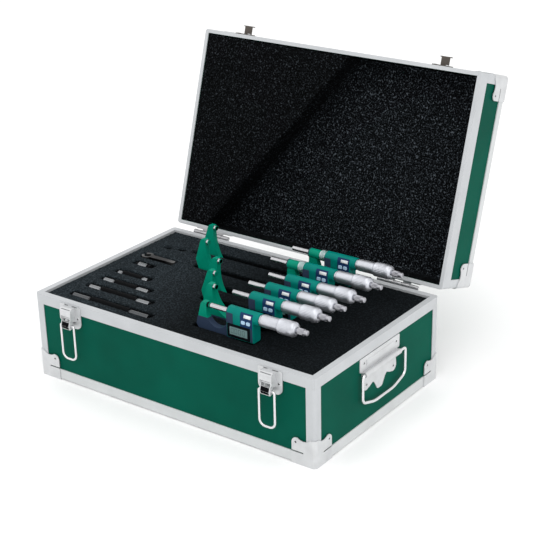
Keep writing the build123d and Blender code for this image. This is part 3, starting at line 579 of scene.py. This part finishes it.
def spanner_look():
    """Blackened steel, worn bare at the jaw and at the end of the handle."""
    look = Look("worn_black_steel", (0.02, 0.02, 0.022), 0.4, 0.8)
    along = look.node("ShaderNodeSeparateXYZ", Vector=look.coords).outputs["X"]
    away = look.maths("ABSOLUTE", look.maths("SUBTRACT", along, middle("spanner").x))
    worn = look.node("ShaderNodeMapRange", Value=away, From_Min=12.0 * MM, From_Max=25.0 * MM)
    black = (0.006, 0.006, 0.007)
    bare = (0.11, 0.11, 0.11)
    look.set(Base_Color=look.ramp(worn.outputs["Result"], (0.0, black), (1.0, bare)))
    look.set(Roughness=look.level(look.noise(2.0, 4.0), 0.3, 0.5), IOR=1.2)
    look.bump(look.noise(0.5, 2.0), 0.02, 0.5)
    return look.material


def glass_face_look(name, color):
    """Display glass over its reflector."""
    look = Look(name, color, 0.16)
    look.set(Base_Color=look.mottled(color, look.noise(12.0, 2.0), 0.95, 1.05))
    look.set(Roughness=look.level(look.noise(4.0, 3.0), 0.1, 0.24), Coat_Weight=0.6)
    return look.material


FRAME_GREEN = (0.0006, 0.235, 0.150)
SLATE_COLOR = (0.028, 0.044, 0.080)
LAMINATE = laminate_look()
ALUMINIUM = aluminium_look("satin_aluminium", (0.505, 0.52, 0.535))
# The edging's aluminium is a lighter copy of the rims': painted light, making up for the light it loses
# near the floor
EDGING = aluminium_look("edging_aluminium_painted_light", (0.59, 0.605, 0.61))
STAMPED = stamped_look()
WIRE = wire_look()
TRAY_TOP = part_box("tray_foam")[1][2]
TRAY_FOAM = foam_look(
    "tray_foam", (0.0100, 0.0135, 0.0160), (0.022, 0.029, 0.034), (0.034, 0.043, 0.050),
    # Painted light: the tray foam is lighter towards its left end and darker towards the right, as light
    # falls from the left
    Fade(axis=(1.0, 0.0, 0.0), start=-110.0 * MM, end=0.0, first=1.3, last=0.42),
    # Painted shade: the foam darkens below its top face, inside the slots and pockets
    Fade(axis=(0.0, 0.0, 1.0), start=TRAY_TOP - 4.0 * MM, end=TRAY_TOP - 1.0 * MM, first=0.25, last=1.0))
LID_FOAM = foam_look(
    "lid_foam", (0.0012, 0.0015, 0.0019), (0.018, 0.022, 0.026), (0.090, 0.105, 0.120),
    Fade(axis=LID_DEPTH_AXIS, start=60.0 * MM, end=70.0 * MM, first=0.38, last=1.0))
HOUSING = plastic_look("green_housing", (0.0004, 0.180, 0.150), 0.32)
BLUE = plastic_look("blue_panel", (0.012, 0.035, 0.10), 0.3)
SLATE = plastic_look("slate_cover", SLATE_COLOR, 0.45)
BLACK = plastic_look("black_plastic", (0.004, 0.005, 0.007), 0.3)
PALE = plastic_look("pale_key", (0.42, 0.60, 0.78), 0.35)
WHITE_KEY = plastic_look("white_key", (0.75, 0.78, 0.80), 0.35)
DISPLAY = glass_face_look("display_glass", (0.19, 0.30, 0.30))
SEGMENT = plastic_look("display_segment", (0.08, 0.13, 0.13), 0.3)
GROUND = metal_look("ground_steel", (0.52, 0.52, 0.54), 0.08, 0.16, GRINDING)
GAUGE = metal_look("gauge_steel", (0.24, 0.25, 0.26), 0.14, 0.28, GRINDING)
DULL_GAUGE = metal_look("dull_gauge_steel", (0.095, 0.10, 0.105), 0.2, 0.35, GRINDING)
SATIN = metal_look("satin_chrome", (0.60, 0.615, 0.66), 0.34, 0.5, GRINDING)
RATCHET = metal_look("ratchet_steel", (0.42, 0.42, 0.45), 0.3, 0.45, GRINDING)
# Dark brown steel on the strikes: painted shade, for their shadowed hooks
STRIKE_STEEL = metal_look("shaded_strike_steel", (0.10, 0.088, 0.078), 0.35, 0.55)
HINGE_STEEL = metal_look("hinge_steel", (0.40, 0.40, 0.41), 0.25, 0.45)
LINING = plastic_look("black_lining", (0.006, 0.006, 0.007), 0.7)
# Black for painted shade: in the rivets' pits, the levers' pulls and the gaps above the hoods
SHADE = plastic_look("painted_shade_black", (0.004, 0.004, 0.005), 0.6, specular=0.1)
GRIP = plastic_look("grip_black", (0.0035, 0.0038, 0.0045), 0.5, specular=0.25)
MARK = plastic_look("scale_mark", (0.02, 0.02, 0.025), 0.5)


# ---------------------------------------------------------------- CAD nodes
SHELL_MIDDLE = {"base": middle("tray_foam"), "lid": middle("lid_foam")}
# Material and softened edge of the nodes with these endings
FINISHES = {
    ("_rim", "_posts"): (ALUMINIUM, EXTRUSION_EDGE),
    ("_edging",): (EDGING, EXTRUSION_EDGE),
    ("_strikes",): (STRIKE_STEEL, SHEET_EDGE),
    ("_leaves",): (HINGE_STEEL, SHEET_EDGE),
    ("_caps", "_plates", "lever_left", "lever_right"): (STAMPED, SHEET_EDGE),
    ("loop_left", "loop_right", "handle_left", "handle_right", "hinge_pins"): (WIRE, 0.0),
    ("_housing",): (HOUSING, HOUSING_EDGE),
    ("_spindle",): (GROUND, 0.0),
    ("spanner",): (spanner_look(), SPANNER_EDGE),
}


def dress(node, material, bevel=0.0):
    """Give a CAD node its finish and softened edges."""
    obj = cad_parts[node]
    obj.data.materials.clear()
    obj.data.materials.append(material)
    for poly in obj.data.polygons:
        poly.material_index = 0
    if bevel:
        add_bevel(obj, bevel)
    return obj


def line_inside(obj, centre):
    """Black lining on the board faces that look into the shell."""
    obj.data.materials.append(LINING)
    for poly in obj.data.polygons:
        if (centre - poly.center).dot(poly.normal) > LINING_DEPTH:
            poly.material_index = 1


def dress_case():
    """Finish of every part that keeps its CAD shape, but for the micrometers' frames."""
    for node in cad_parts:
        if node.endswith(("_panel", "_panels")):
            line_inside(dress(node, LAMINATE), SHELL_MIDDLE[node.split("_")[0]])
        for endings, (material, edge) in FINISHES.items():
            if node.endswith(endings):
                dress(node, material, edge)


# ---------------------------------------------------------------- foam
def foam_piece(node, name, material, body, turn):
    """Foam block as a remeshed, slightly uneven copy of its CAD solid; turn squares it with the axes."""
    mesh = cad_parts[node].data.copy()
    obj = bpy.data.objects.new(name, mesh)
    bpy.context.scene.collection.objects.link(obj)
    mesh.materials.clear()
    mesh.materials.append(material)
    bm = welded(mesh)
    bm.to_mesh(mesh)
    bm.free()
    mesh.transform(turn)
    remesh = obj.modifiers.new("remesh", "REMESH")
    remesh.mode = "VOXEL"
    remesh.voxel_size = FOAM_VOXEL
    soft = obj.modifiers.new("soft", "SMOOTH")
    soft.factor = FOAM_SMOOTHING
    soft.iterations = FOAM_ROUNDS
    depsgraph = bpy.context.evaluated_depsgraph_get()
    final = bpy.data.meshes.new_from_object(obj.evaluated_get(depsgraph))
    obj.modifiers.clear()
    obj.data = final
    outward = [vertex.normal.copy() for vertex in final.vertices]
    for vertex, normal in zip(final.vertices, outward):
        vertex.co += normal * random.uniform(*FOAM_SWELL) * FOAM_ROUGH
    final.transform(turn.inverted())
    for poly in final.polygons:
        poly.use_smooth = True
        poly.material_index = 0
    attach(obj, body)
    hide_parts(node)


# ---------------------------------------------------------------- rivets
def islands(mesh):
    """Vertex places of each separate solid in a mesh."""
    bm = welded(mesh)
    seen, groups = set(), []
    for start in bm.verts:
        if start in seen:
            continue
        stack, group = [start], []
        seen.add(start)
        while stack:
            vert = stack.pop()
            group.append(vert.co.copy())
            for edge in vert.link_edges:
                other = edge.other_vert(vert)
                if other not in seen:
                    seen.add(other)
                    stack.append(other)
        groups.append(group)
    bm.free()
    return groups


def extent(points, axis):
    """Lowest and highest place of points along an axis."""
    along = [point.dot(axis) for point in points]
    return min(along), max(along)


def flat_axis(points):
    """Direction in which a small disc is thinnest, by testing the directions of the case's walls."""
    def thickness(axis):
        low, high = extent(points, axis)
        return high - low
    upright = Vector((0, math.sin(LID_LEAN), math.cos(LID_LEAN)))
    return min((Vector((1, 0, 0)), Vector((0, 1, 0)), Vector(LID_DEPTH_AXIS), upright), key=thickness)


def domed_rivets(node, body, inside):
    """Hollow domed heads, with painted shade in their pits, in place of a node's plain discs; inside is a
    point within the shell.
    """
    profile = stepped(0.0, 0.0, RIVET_DOME + RIVET_PIT)
    verts, faces = [], []
    for group in islands(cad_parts[node].data):
        centre = sum(group, Vector()) / len(group)
        axis = flat_axis(group)
        if (centre - inside).dot(axis) < 0:
            axis = -axis
        foot = centre + axis * (extent(group, axis)[0] - centre.dot(axis))
        faces += tube_faces(len(profile), RIVET_STEPS, len(verts))
        verts += turned_points(profile, foot, axis, RIVET_STEPS)
    obj = new_object(node + "_domed", verts, faces, STAMPED)
    obj.data.materials.append(SHADE)
    walls = (len(profile) - 1) * RIVET_STEPS
    # The pit gets painted shade: the last ring of each rivet's walls, and its last cap
    for index, poly in enumerate(obj.data.polygons):
        place = index % (walls + 2)
        if walls - RIVET_STEPS <= place < walls or place == walls + 1:
            poly.material_index = 1
    fix_normals(obj)
    smooth_by_angle(obj, RIVET_SHARP_ANGLE)
    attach(obj, body)
    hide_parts(node)


# ---------------------------------------------------------------- latches
def painted_shade_strip(name, origin, ends, path, body):
    """Thin strip of painted shade between two ends in x, along a path in y and z."""
    x, y, z = origin
    verts = [(x + u * MM, y + v * MM, z + w * MM) for v, w in path for u in ends]
    strip = new_object(name, verts, strip_faces(len(path)), SHADE, smooth=False)
    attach(strip, body)


def make_latch_details():
    """Painted shade in the hollow of each lever's pull, and painted shadow in the gaps above each hood.
    """
    for side in ("left", "right"):
        low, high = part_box(f"latch_lever_{side}")
        origin = ((low[0] + high[0]) / 2, low[1] + LEVER_OUT, high[2] + LEVER_DOWN)
        # Painted shade in the hollow of the lever's pull
        painted_shade_strip(f"latch_pull_{side}", origin, PULL_SHADE_ENDS, PULL_SHADE_PATH, f"lever_{side}")
        # Painted shadow in the gaps between each hood's top and the rim
        for number, ends in enumerate(SLOT_SHADOW_ENDS):
            painted_shade_strip(f"latch_slot_{side}_{number}", origin, ends, SLOT_SHADOW_PATH, "base")


# ---------------------------------------------------------------- micrometers
class Tool:
    """Places of one micrometer, read from its CAD nodes."""

    def __init__(self, index):
        self.name = f"micrometer_{index}"
        self.size = RANGES[index - 1] * MM
        self.long = RANGES[index - 1] >= LONG_FROM
        low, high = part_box(f"{self.name}_spindle")
        self.y = (low[1] + high[1]) / 2
        self.z = (low[2] + high[2]) / 2
        self.anvil = low[0] - OPENING - self.size
        self.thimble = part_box(f"{self.name}_thimble")[0][0]
        low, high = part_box(f"{self.name}_housing")
        self.housing = low[0]
        self.nose_end = high[0] - SLEEVE_LEN
        self.housing_end = self.nose_end - NOSE_LEN
        throat_r = (self.size + ARM_FACE + ANVIL_OUT) / 2
        self.cover_top = self.z - BOW_DROPS[index - 1] - throat_r + (COVER_RISE if index == 1 else 0.0)

    def at(self, x, y=0.0, z=0.0):
        """Point at x, and at y and z from the measuring axis."""
        return Vector((x, self.y + y, self.z + z))

    def around(self, x, radius, angle):
        """Point at x and at an angle round the measuring axis, from +Y towards +Z."""
        return self.at(x, radius * math.cos(angle), radius * math.sin(angle))


def knurl(depth, count, rows):
    """Radius factor that cuts straight ribs from the first row of a grip to its last."""
    def wave(along, angle):
        if rows[0] < along < rows[-1]:
            return 1.0 - depth * (0.5 + 0.5 * math.cos(count * angle))
        return 1.0
    return wave


def ribbed(radius, rows):
    """Profile points of a grip, close together where its ribs begin and end."""
    start, *between, end = rows
    places = (start - RIB_EDGE, start + RIB_EDGE, *between, end - RIB_EDGE, end + RIB_EDGE)
    return [(place, radius) for place in places]


def thimble(tool):
    """Thimble with a slim front, a groove before its shoulder and a ribbed grip."""
    profile = [(0.0, THIMBLE_BORE_EDGE), (BEVEL_START, FRONT_EDGE_R), (BEVEL_LEN, FRONT_R)]
    profile += stepped(FRONT_LEN, FRONT_R, FRONT_GROOVE)
    profile += [(FRONT_LEN + SHOULDER_LEN, THIMBLE_R)]
    profile += ribbed(THIMBLE_R, THIMBLE_GRIP)
    profile += stepped(THIMBLE_LEN, THIMBLE_R, THIMBLE_END)
    profile += [(THIMBLE_LEN, NECK_R)]
    shell = revolved(f"{tool.name}_thimble_shell", profile, tool.at(tool.thimble), SATIN, steps=128,
                     wave=knurl(*THIMBLE_RIBS, THIMBLE_GRIP))
    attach(shell, f"{tool.name}_thimble")
    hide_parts(f"{tool.name}_thimble")


def ratchet(tool):
    """Ribbed ratchet on a slim neck, with a plain knob at its end."""
    profile = [(-RATCHET_SUNK, NECK_R), (RATCHET_START, NECK_R)]
    profile += stepped(RATCHET_START, RATCHET_R, RATCHET_FRONT)
    profile += ribbed(RATCHET_R, RATCHET_GRIP)
    profile += stepped(RATCHET_LEN, RATCHET_R, RATCHET_END)
    start = tool.at(tool.thimble + THIMBLE_LEN)
    obj = revolved(f"{tool.name}_ratchet", profile, start, RATCHET, steps=96,
                   wave=knurl(*RATCHET_RIBS, RATCHET_GRIP))
    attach(obj, f"{tool.name}_thimble")


def printed(name, patches, material):
    """Flat printed marks; a patch is its four corner points."""
    verts = [corner for patch in patches for corner in patch]
    faces = [tuple(range(k, k + 4)) for k in range(0, len(verts), 4)]
    return new_object(name, verts, faces, material, smooth=False)


def corners(x0, x1, y0, y1):
    """Corners of a rectangle in order."""
    return (x0, y0), (x1, y0), (x1, y1), (x0, y1)


def thimble_marks(tool):
    """Fine division lines on the thimble's bevel."""
    slope = (FRONT_R - FRONT_EDGE_R) / (BEVEL_LEN - BEVEL_START)
    patches = []
    for k in range(DIVISIONS):
        middle_angle = 2 * math.pi * k / DIVISIONS
        end = DIVISION_SHORT if k % LONG_EVERY else DIVISION_LONG
        patch = []
        for across, x in corners(-DIVISION_HALF, DIVISION_HALF, DIVISION_START, end):
            r = FRONT_EDGE_R + (x - BEVEL_START) * slope + LINE_LIFT
            patch.append(tool.around(tool.thimble + x, r, middle_angle + across / r))
        patches.append(patch)
    obj = printed(f"{tool.name}_divisions", patches, MARK)
    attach(obj, f"{tool.name}_thimble")


def sleeve(tool):
    """Steel sleeve under the thimble, with its reading line and millimetre marks."""
    start = tool.nose_end - SLEEVE_SUNK
    r = SLEEVE_R + SLEEVE_LIFT
    profile = stepped(0.0, r, SLEEVE_FRONT) + stepped(SLEEVE_LEN, r, SLEEVE_END)
    obj = revolved(f"{tool.name}_sleeve", profile, tool.at(start), SATIN, steps=64)
    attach(obj, tool.name)
    marks = [corners(*READING_LINE, -READING_HALF, READING_HALF)]
    for k in range(SLEEVE_MARKS):
        x = FIRST_MARK + k * MM
        tall = MARK_SHORT if k % LONG_EVERY else MARK_LONG
        marks.append(corners(x - MARK_HALF, x + MARK_HALF, 0.0, tall))
    patches = [[tool.around(start + x, r + LINE_LIFT, READING_ANGLE - across / r) for x, across in mark]
               for mark in marks]
    obj = printed(f"{tool.name}_sleeve_marks", patches, MARK)
    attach(obj, tool.name)


def anvil(tool):
    """Steel anvil with its carbide face; the smallest micrometer's is black, as painted shade for the
    shadowed gap at it.
    """
    r = SPINDLE_R + ANVIL_LIFT
    profile = [(-ANVIL_OUT - ANVIL_SUNK, r)] + stepped(0.0, r, ANVIL_END)
    # Black on the smallest micrometer: painted shade
    finish = GRIP if tool.size == 0.0 else GROUND
    obj = revolved(f"{tool.name}_anvil", profile, tool.at(tool.anvil), finish, steps=40)
    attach(obj, tool.name)


def collar(tool):
    """Slate collar round the spindle's exit from the frame."""
    start = tool.anvil + tool.size + ARM_FACE - COLLAR_OUT
    r = BOSS_R + COLLAR_LIFT
    profile = stepped(0.0, r, COLLAR_FRONT) + stepped(COLLAR_LEN, r, COLLAR_END)
    obj = revolved(f"{tool.name}_collar", profile, tool.at(start), SLATE, steps=48)
    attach(obj, tool.name)


def zero_bars():
    """Rectangles (u0, u1, v0, v1) of a seven-segment zero."""
    bar = DIGIT_BAR
    gap = bar / 4
    mid = DIGIT_H / 2
    upper = (mid + gap, DIGIT_H - gap)
    lower = (gap, mid - gap)
    across = (bar, DIGIT_W - bar)
    left = (0, bar)
    right = (DIGIT_W - bar, DIGIT_W)
    return [(*across, DIGIT_H - bar, DIGIT_H), (*right, *upper), (*right, *lower), (*across, 0, bar),
            (*left, *lower), (*left, *upper)]


def window_outline(gap, radius):
    """Outline of the display's window, drawn in by a gap."""
    u0, u1, v0, v1 = WINDOW
    return rounded_rectangle(u0 + gap, u1 - gap, v0 + gap, v1 - gap, radius)


def bezel(tool, place):
    """Black frame round the display, with sloping sides."""
    outer = rounded_rectangle(BEZEL_GAP, BEZEL_W - BEZEL_GAP, BEZEL_BOTTOM + BEZEL_GAP, FACE_TOP,
                              BEZEL_CORNER_R)
    inset = [(u + (BEZEL_SLOPE_WIDTH if u < BEZEL_W / 2 else -BEZEL_SLOPE_WIDTH), v) for u, v in outer]
    inner = window_outline(0.0, WINDOW_CORNER_R)
    rings = ((outer, 0.0), (outer, BEZEL_THICK - BEZEL_SLOPE_DEPTH), (inset, BEZEL_THICK),
             (inner, BEZEL_THICK), (inner, GLASS_FLOOR))
    verts = [place(u, v, depth) for ring, depth in rings for u, v in ring]
    obj = new_object(f"{tool.name}_bezel", verts, tube_faces(len(rings), len(outer)), BLACK)
    fix_normals(obj)
    smooth_by_angle(obj, BEZEL_SHARP_ANGLE)
    return obj


def glass(tool, place):
    """Display glass on the floor of the bezel's window."""
    return prism(f"{tool.name}_display", window_outline(GLASS_GAP, GLASS_CORNER_R),
                 lambda u, v, w: place(u, v, GLASS_FLOOR + w), GLASS_THICK, DISPLAY)


def digits(tool, place):
    """Row of zeros with a point behind the first one."""
    first, low = DIGITS_AT
    bars = [(first + k * DIGIT_STEP + u0, first + k * DIGIT_STEP + u1, v0, v1)
            for k in range(DIGITS) for u0, u1, v0, v1 in zero_bars()]
    point = first + DIGIT_W + POINT_GAP
    bars.append((point, point + DIGIT_BAR, 0, DIGIT_BAR))
    lift = GLASS_FLOOR + GLASS_THICK + LINE_LIFT
    patches = [[place(u, low + v, lift) for u, v in corners(*bar)] for bar in bars]
    return printed(f"{tool.name}_digits", patches, SEGMENT)


def display(tool):
    """Bezel, display glass and digits on the housing's front."""
    left = tool.housing_end - BEZEL_MARGIN - BEZEL_W
    face = -HOUSING_R + BEZEL_RECESS

    def place(u, v, w):
        return tool.at(left + u, face - w, v)
    for obj in (bezel(tool, place), glass(tool, place), digits(tool, place)):
        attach(obj, tool.name)


def wrapped_band(tool, label, x0, x1, z0, top_angle, material):
    """Thin panel on the housing's front that runs up over its round shoulder."""
    r = HOUSING_R + PANEL_LIFT
    path = [(-r, z0)]
    for degrees in range(0, top_angle + 1, PANEL_STEP):
        angle = math.radians(degrees)
        path.append((-r * math.cos(angle), r * math.sin(angle)))
    scale = (r - PANEL_THICK) / r
    verts = []
    for y, z in path:
        verts += [tool.at(x0, y, z), tool.at(x1, y, z)]
        verts += [tool.at(x1, y * scale, z * scale), tool.at(x0, y * scale, z * scale)]
    panel = new_object(f"{tool.name}_{label}", verts, tube_faces(len(path), 4), material)
    fix_normals(panel)
    smooth_by_angle(panel)
    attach(panel, tool.name)


def front_pad(tool, label, box, rise, radius, material):
    """Pad that stands out of the housing's flat front by its rise; box is (x0, x1, z0, z1)."""
    base = -HOUSING_R + PAD_SUNK

    def place(u, v, w):
        return tool.at(u, base - w, v)
    pad = prism(f"{tool.name}_{label}", rounded_rectangle(*box, radius), place, rise + PAD_SUNK, material)
    add_bevel(pad, PAD_EDGE)
    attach(pad, tool.name)


def blank_plate(tool, left):
    """White plate that curves over the housing's shoulder above the keys."""
    r = HOUSING_R + PANEL_LIFT + PLATE_RISE
    verts = []
    for degrees in PLATE_ANGLES:
        angle = math.radians(180 - degrees)
        verts += [tool.around(left + edge, r, angle) for edge in PLATE_EDGES]
    plate = new_object(f"{tool.name}_blank_plate", verts, strip_faces(len(PLATE_ANGLES)), WHITE_KEY)
    thick = plate.modifiers.new("thick", "SOLIDIFY")
    thick.thickness = PLATE_THICK
    thick.offset = 0.0
    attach(plate, tool.name)


def controls(tool):
    """Blue key panel, slate borders, two keys and a blank plate on the housing's front."""
    right = tool.housing_end - PANEL_INSET
    left = right - PANEL_W
    low = FACE_TOP + PANEL_GAP
    wrapped_band(tool, "key_panel", left, right, low, PANEL_TOP, BLUE)
    start = tool.housing + (LONG_LOCK_INSET if tool.long else LOCK_INSET)
    wrapped_band(tool, "lock_panel", start, start + LOCK_W, low, LOCK_TOP, SLATE)
    border = (tool.housing_end - BEZEL_MARGIN + BORDER_INSET, right, BEZEL_BOTTOM, low - BORDER_GAP)
    front_pad(tool, "border", border, PANEL_LIFT, BORDER_CORNER_R, SLATE)
    for label, inset in KEYS.items():
        key = (left + inset, left + inset + KEY_W, *KEY_LEVELS)
        front_pad(tool, label, key, PANEL_LIFT + KEY_RISE, KEY_CORNER_R, PALE)
    blank_plate(tool, left)


def lock_ring(tool):
    """Knurled lock ring of the two largest micrometers."""
    start = tool.anvil + tool.size + RING_X
    r = RING_R + RING_LIFT
    profile = stepped(0.0, r, RING_FRONT) + ribbed(r, RING_GRIP) + stepped(RING_LEN, r, RING_END)
    obj = revolved(f"{tool.name}_lock_ring", profile, tool.at(start), SATIN, steps=160,
                   wave=knurl(*RING_RIBS, RING_GRIP))
    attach(obj, tool.name)


def make_micrometers():
    """Every piece of the six micrometers."""
    for index in range(1, MICROMETER_COUNT + 1):
        tool = Tool(index)
        thimble(tool)
        ratchet(tool)
        thimble_marks(tool)
        sleeve(tool)
        anvil(tool)
        collar(tool)
        dress(f"{tool.name}_frame", enamel_look(f"{tool.name}_enamel", tool.cover_top), FRAME_EDGE)
        display(tool)
        controls(tool)
        if tool.long:
            lock_ring(tool)


# ---------------------------------------------------------------- setting standards
def mirrored(profile):
    """Mirror image of a profile's right part, in the order of its points along the axis."""
    return [(-x, radius) for x, radius in reversed(profile)]


def rod_profile(length, half):
    """Gauge rod with rounded ends and a groove beyond each end of its grip; half is half the grip."""
    right = stepped(half, STANDARD_R, ROD_GROOVE) + stepped(length / 2, STANDARD_R, ROD_END)
    return mirrored(right) + right


def grip_profile(half):
    """Grip with fine ribs round it; half is half its length."""
    right = stepped(half, GRIP_R, GRIP_END) + [(half, STANDARD_R)]
    count = int(2 * half / RIB_PITCH)
    pitch = (2 * half - 2 * RIB_MARGIN) / count
    ribs = []
    for k in range(count):
        start = -half + RIB_MARGIN + k * pitch
        ribs += [(start + share * pitch, GRIP_R - depth * MM) for share, depth in RIB_SHAPE]
    return mirrored(right) + ribs + right


def make_standards():
    """Gauge rods with black grips; the longest rod is dull, the shortest is black with a steel grip."""
    for index in range(1, STANDARD_COUNT + 1):
        node = f"setting_standard_{index}"
        low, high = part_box(node)
        length = high[0] - low[0]
        half = length * GRIP_SHARES[index - 1] / 2
        rod_finish, grip_finish = GAUGE, GRIP
        if index == 1:
            rod_finish = DULL_GAUGE
        elif index == STANDARD_COUNT:
            rod_finish, grip_finish = GRIP, GAUGE
        rod = revolved(f"{node}_rod", rod_profile(length, half), middle(node), rod_finish, steps=48)
        grip = revolved(f"{node}_grip", grip_profile(half), middle(node), grip_finish, steps=48)
        for obj in (rod, grip):
            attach(obj, node)
        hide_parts(node)


# ---------------------------------------------------------------- stage
CAMERA_AT = Vector((0.9793, -1.30734, 0.8159))
CAMERA_AZIMUTH = 35.191
CAMERA_PITCH = 24.356
CAMERA_ROLL = -0.648
CAMERA_LENS = 92.34
CAMERA_SENSOR = 36
CAMERA_REACH = 50
CAMERA_SHIFT = (-0.0761, 0.0642)
LAMP_TARGET = Vector((0, 0, 0.1))
LAMPS = {
    "key": {"place": (1.6, -1.9, 2.6), "size": 2.2, "power": 20},
    "top": {"place": (-0.3, -0.4, 2.8), "size": 2.0, "power": 12},
    "left": {"place": (-2.2, -1.6, 1.6), "size": 2.0, "power": 5},
    "right": {"place": (2.8, -0.2, 1.1), "size": 1.8, "power": 9},
}
FLOOR_HALF = 6.0


def make_camera():
    """Camera that sees the case as the photo does."""
    azimuth, pitch, roll = (math.radians(v) for v in (CAMERA_AZIMUTH, CAMERA_PITCH, CAMERA_ROLL))
    level = Vector((math.cos(azimuth), math.sin(azimuth), 0))
    ahead = Vector((-math.sin(azimuth), math.cos(azimuth), 0))
    forward = ahead * math.cos(pitch) - Vector((0, 0, math.sin(pitch)))
    upright = level.cross(forward)
    right = level * math.cos(roll) + upright * math.sin(roll)
    up = upright * math.cos(roll) - level * math.sin(roll)
    data = bpy.data.cameras.new("camera")
    data.lens = CAMERA_LENS
    data.sensor_width = CAMERA_SENSOR
    data.shift_x, data.shift_y = CAMERA_SHIFT
    data.clip_end = CAMERA_REACH
    camera = bpy.data.objects.new("camera", data)
    turn = Matrix((right, up, -forward)).transposed()
    camera.matrix_world = Matrix.Translation(CAMERA_AT) @ turn.to_4x4()
    bpy.context.scene.collection.objects.link(camera)
    bpy.context.scene.camera = camera


def area_light(name, place, size, power):
    """Soft square lamp aimed at the case."""
    data = bpy.data.lights.new(name, "AREA")
    data.shape = "SQUARE"
    data.size = size
    data.energy = power
    lamp = bpy.data.objects.new(name, data)
    lamp.location = place
    lamp.rotation_euler = (LAMP_TARGET - Vector(place)).to_track_quat("-Z", "Y").to_euler()
    bpy.context.scene.collection.objects.link(lamp)


def make_world():
    """Even white surroundings."""
    world = bpy.data.worlds.new("studio")
    bpy.context.scene.world = world
    world.use_nodes = True
    white = world.node_tree.nodes["Background"]
    white.inputs["Color"].default_value = (1, 1, 1, 1)
    white.inputs["Strength"].default_value = 1.0


def make_floor():
    """Pale floor that keeps the case's shadow."""
    look = Look("pale_floor", (0.99, 0.99, 0.99), 0.8)
    look.set(Base_Color=look.ramp(look.noise(60.0, 2.0), (0.3, (0.985,) * 3), (0.7, (0.995,) * 3)))
    verts = [(x, y, 0) for x, y in corners(-FLOOR_HALF, FLOOR_HALF, -FLOOR_HALF, FLOOR_HALF)]
    floor = new_object("floor", verts, [(0, 1, 2, 3)], look.material, smooth=False)


def make_stage():
    """Surroundings, floor, lamps and camera."""
    make_world()
    make_floor()
    for name, lamp in LAMPS.items():
        area_light(name, **lamp)
    make_camera()
    bpy.context.scene.view_settings.view_transform = "Standard"


# ---------------------------------------------------------------- build
dress_case()
foam_piece("tray_foam", "tray_foam_block", TRAY_FOAM, "base", Matrix.Identity(4))
foam_piece("lid_foam", "lid_foam_liner", LID_FOAM, "lid", Matrix.Rotation(LID_LEAN, 4, "X"))
domed_rivets("base_rivets", "base", middle("base_bottom_panel"))
domed_rivets("lid_rivets", "lid", middle("lid_foam"))
make_latch_details()
make_micrometers()
make_standards()
make_stage()
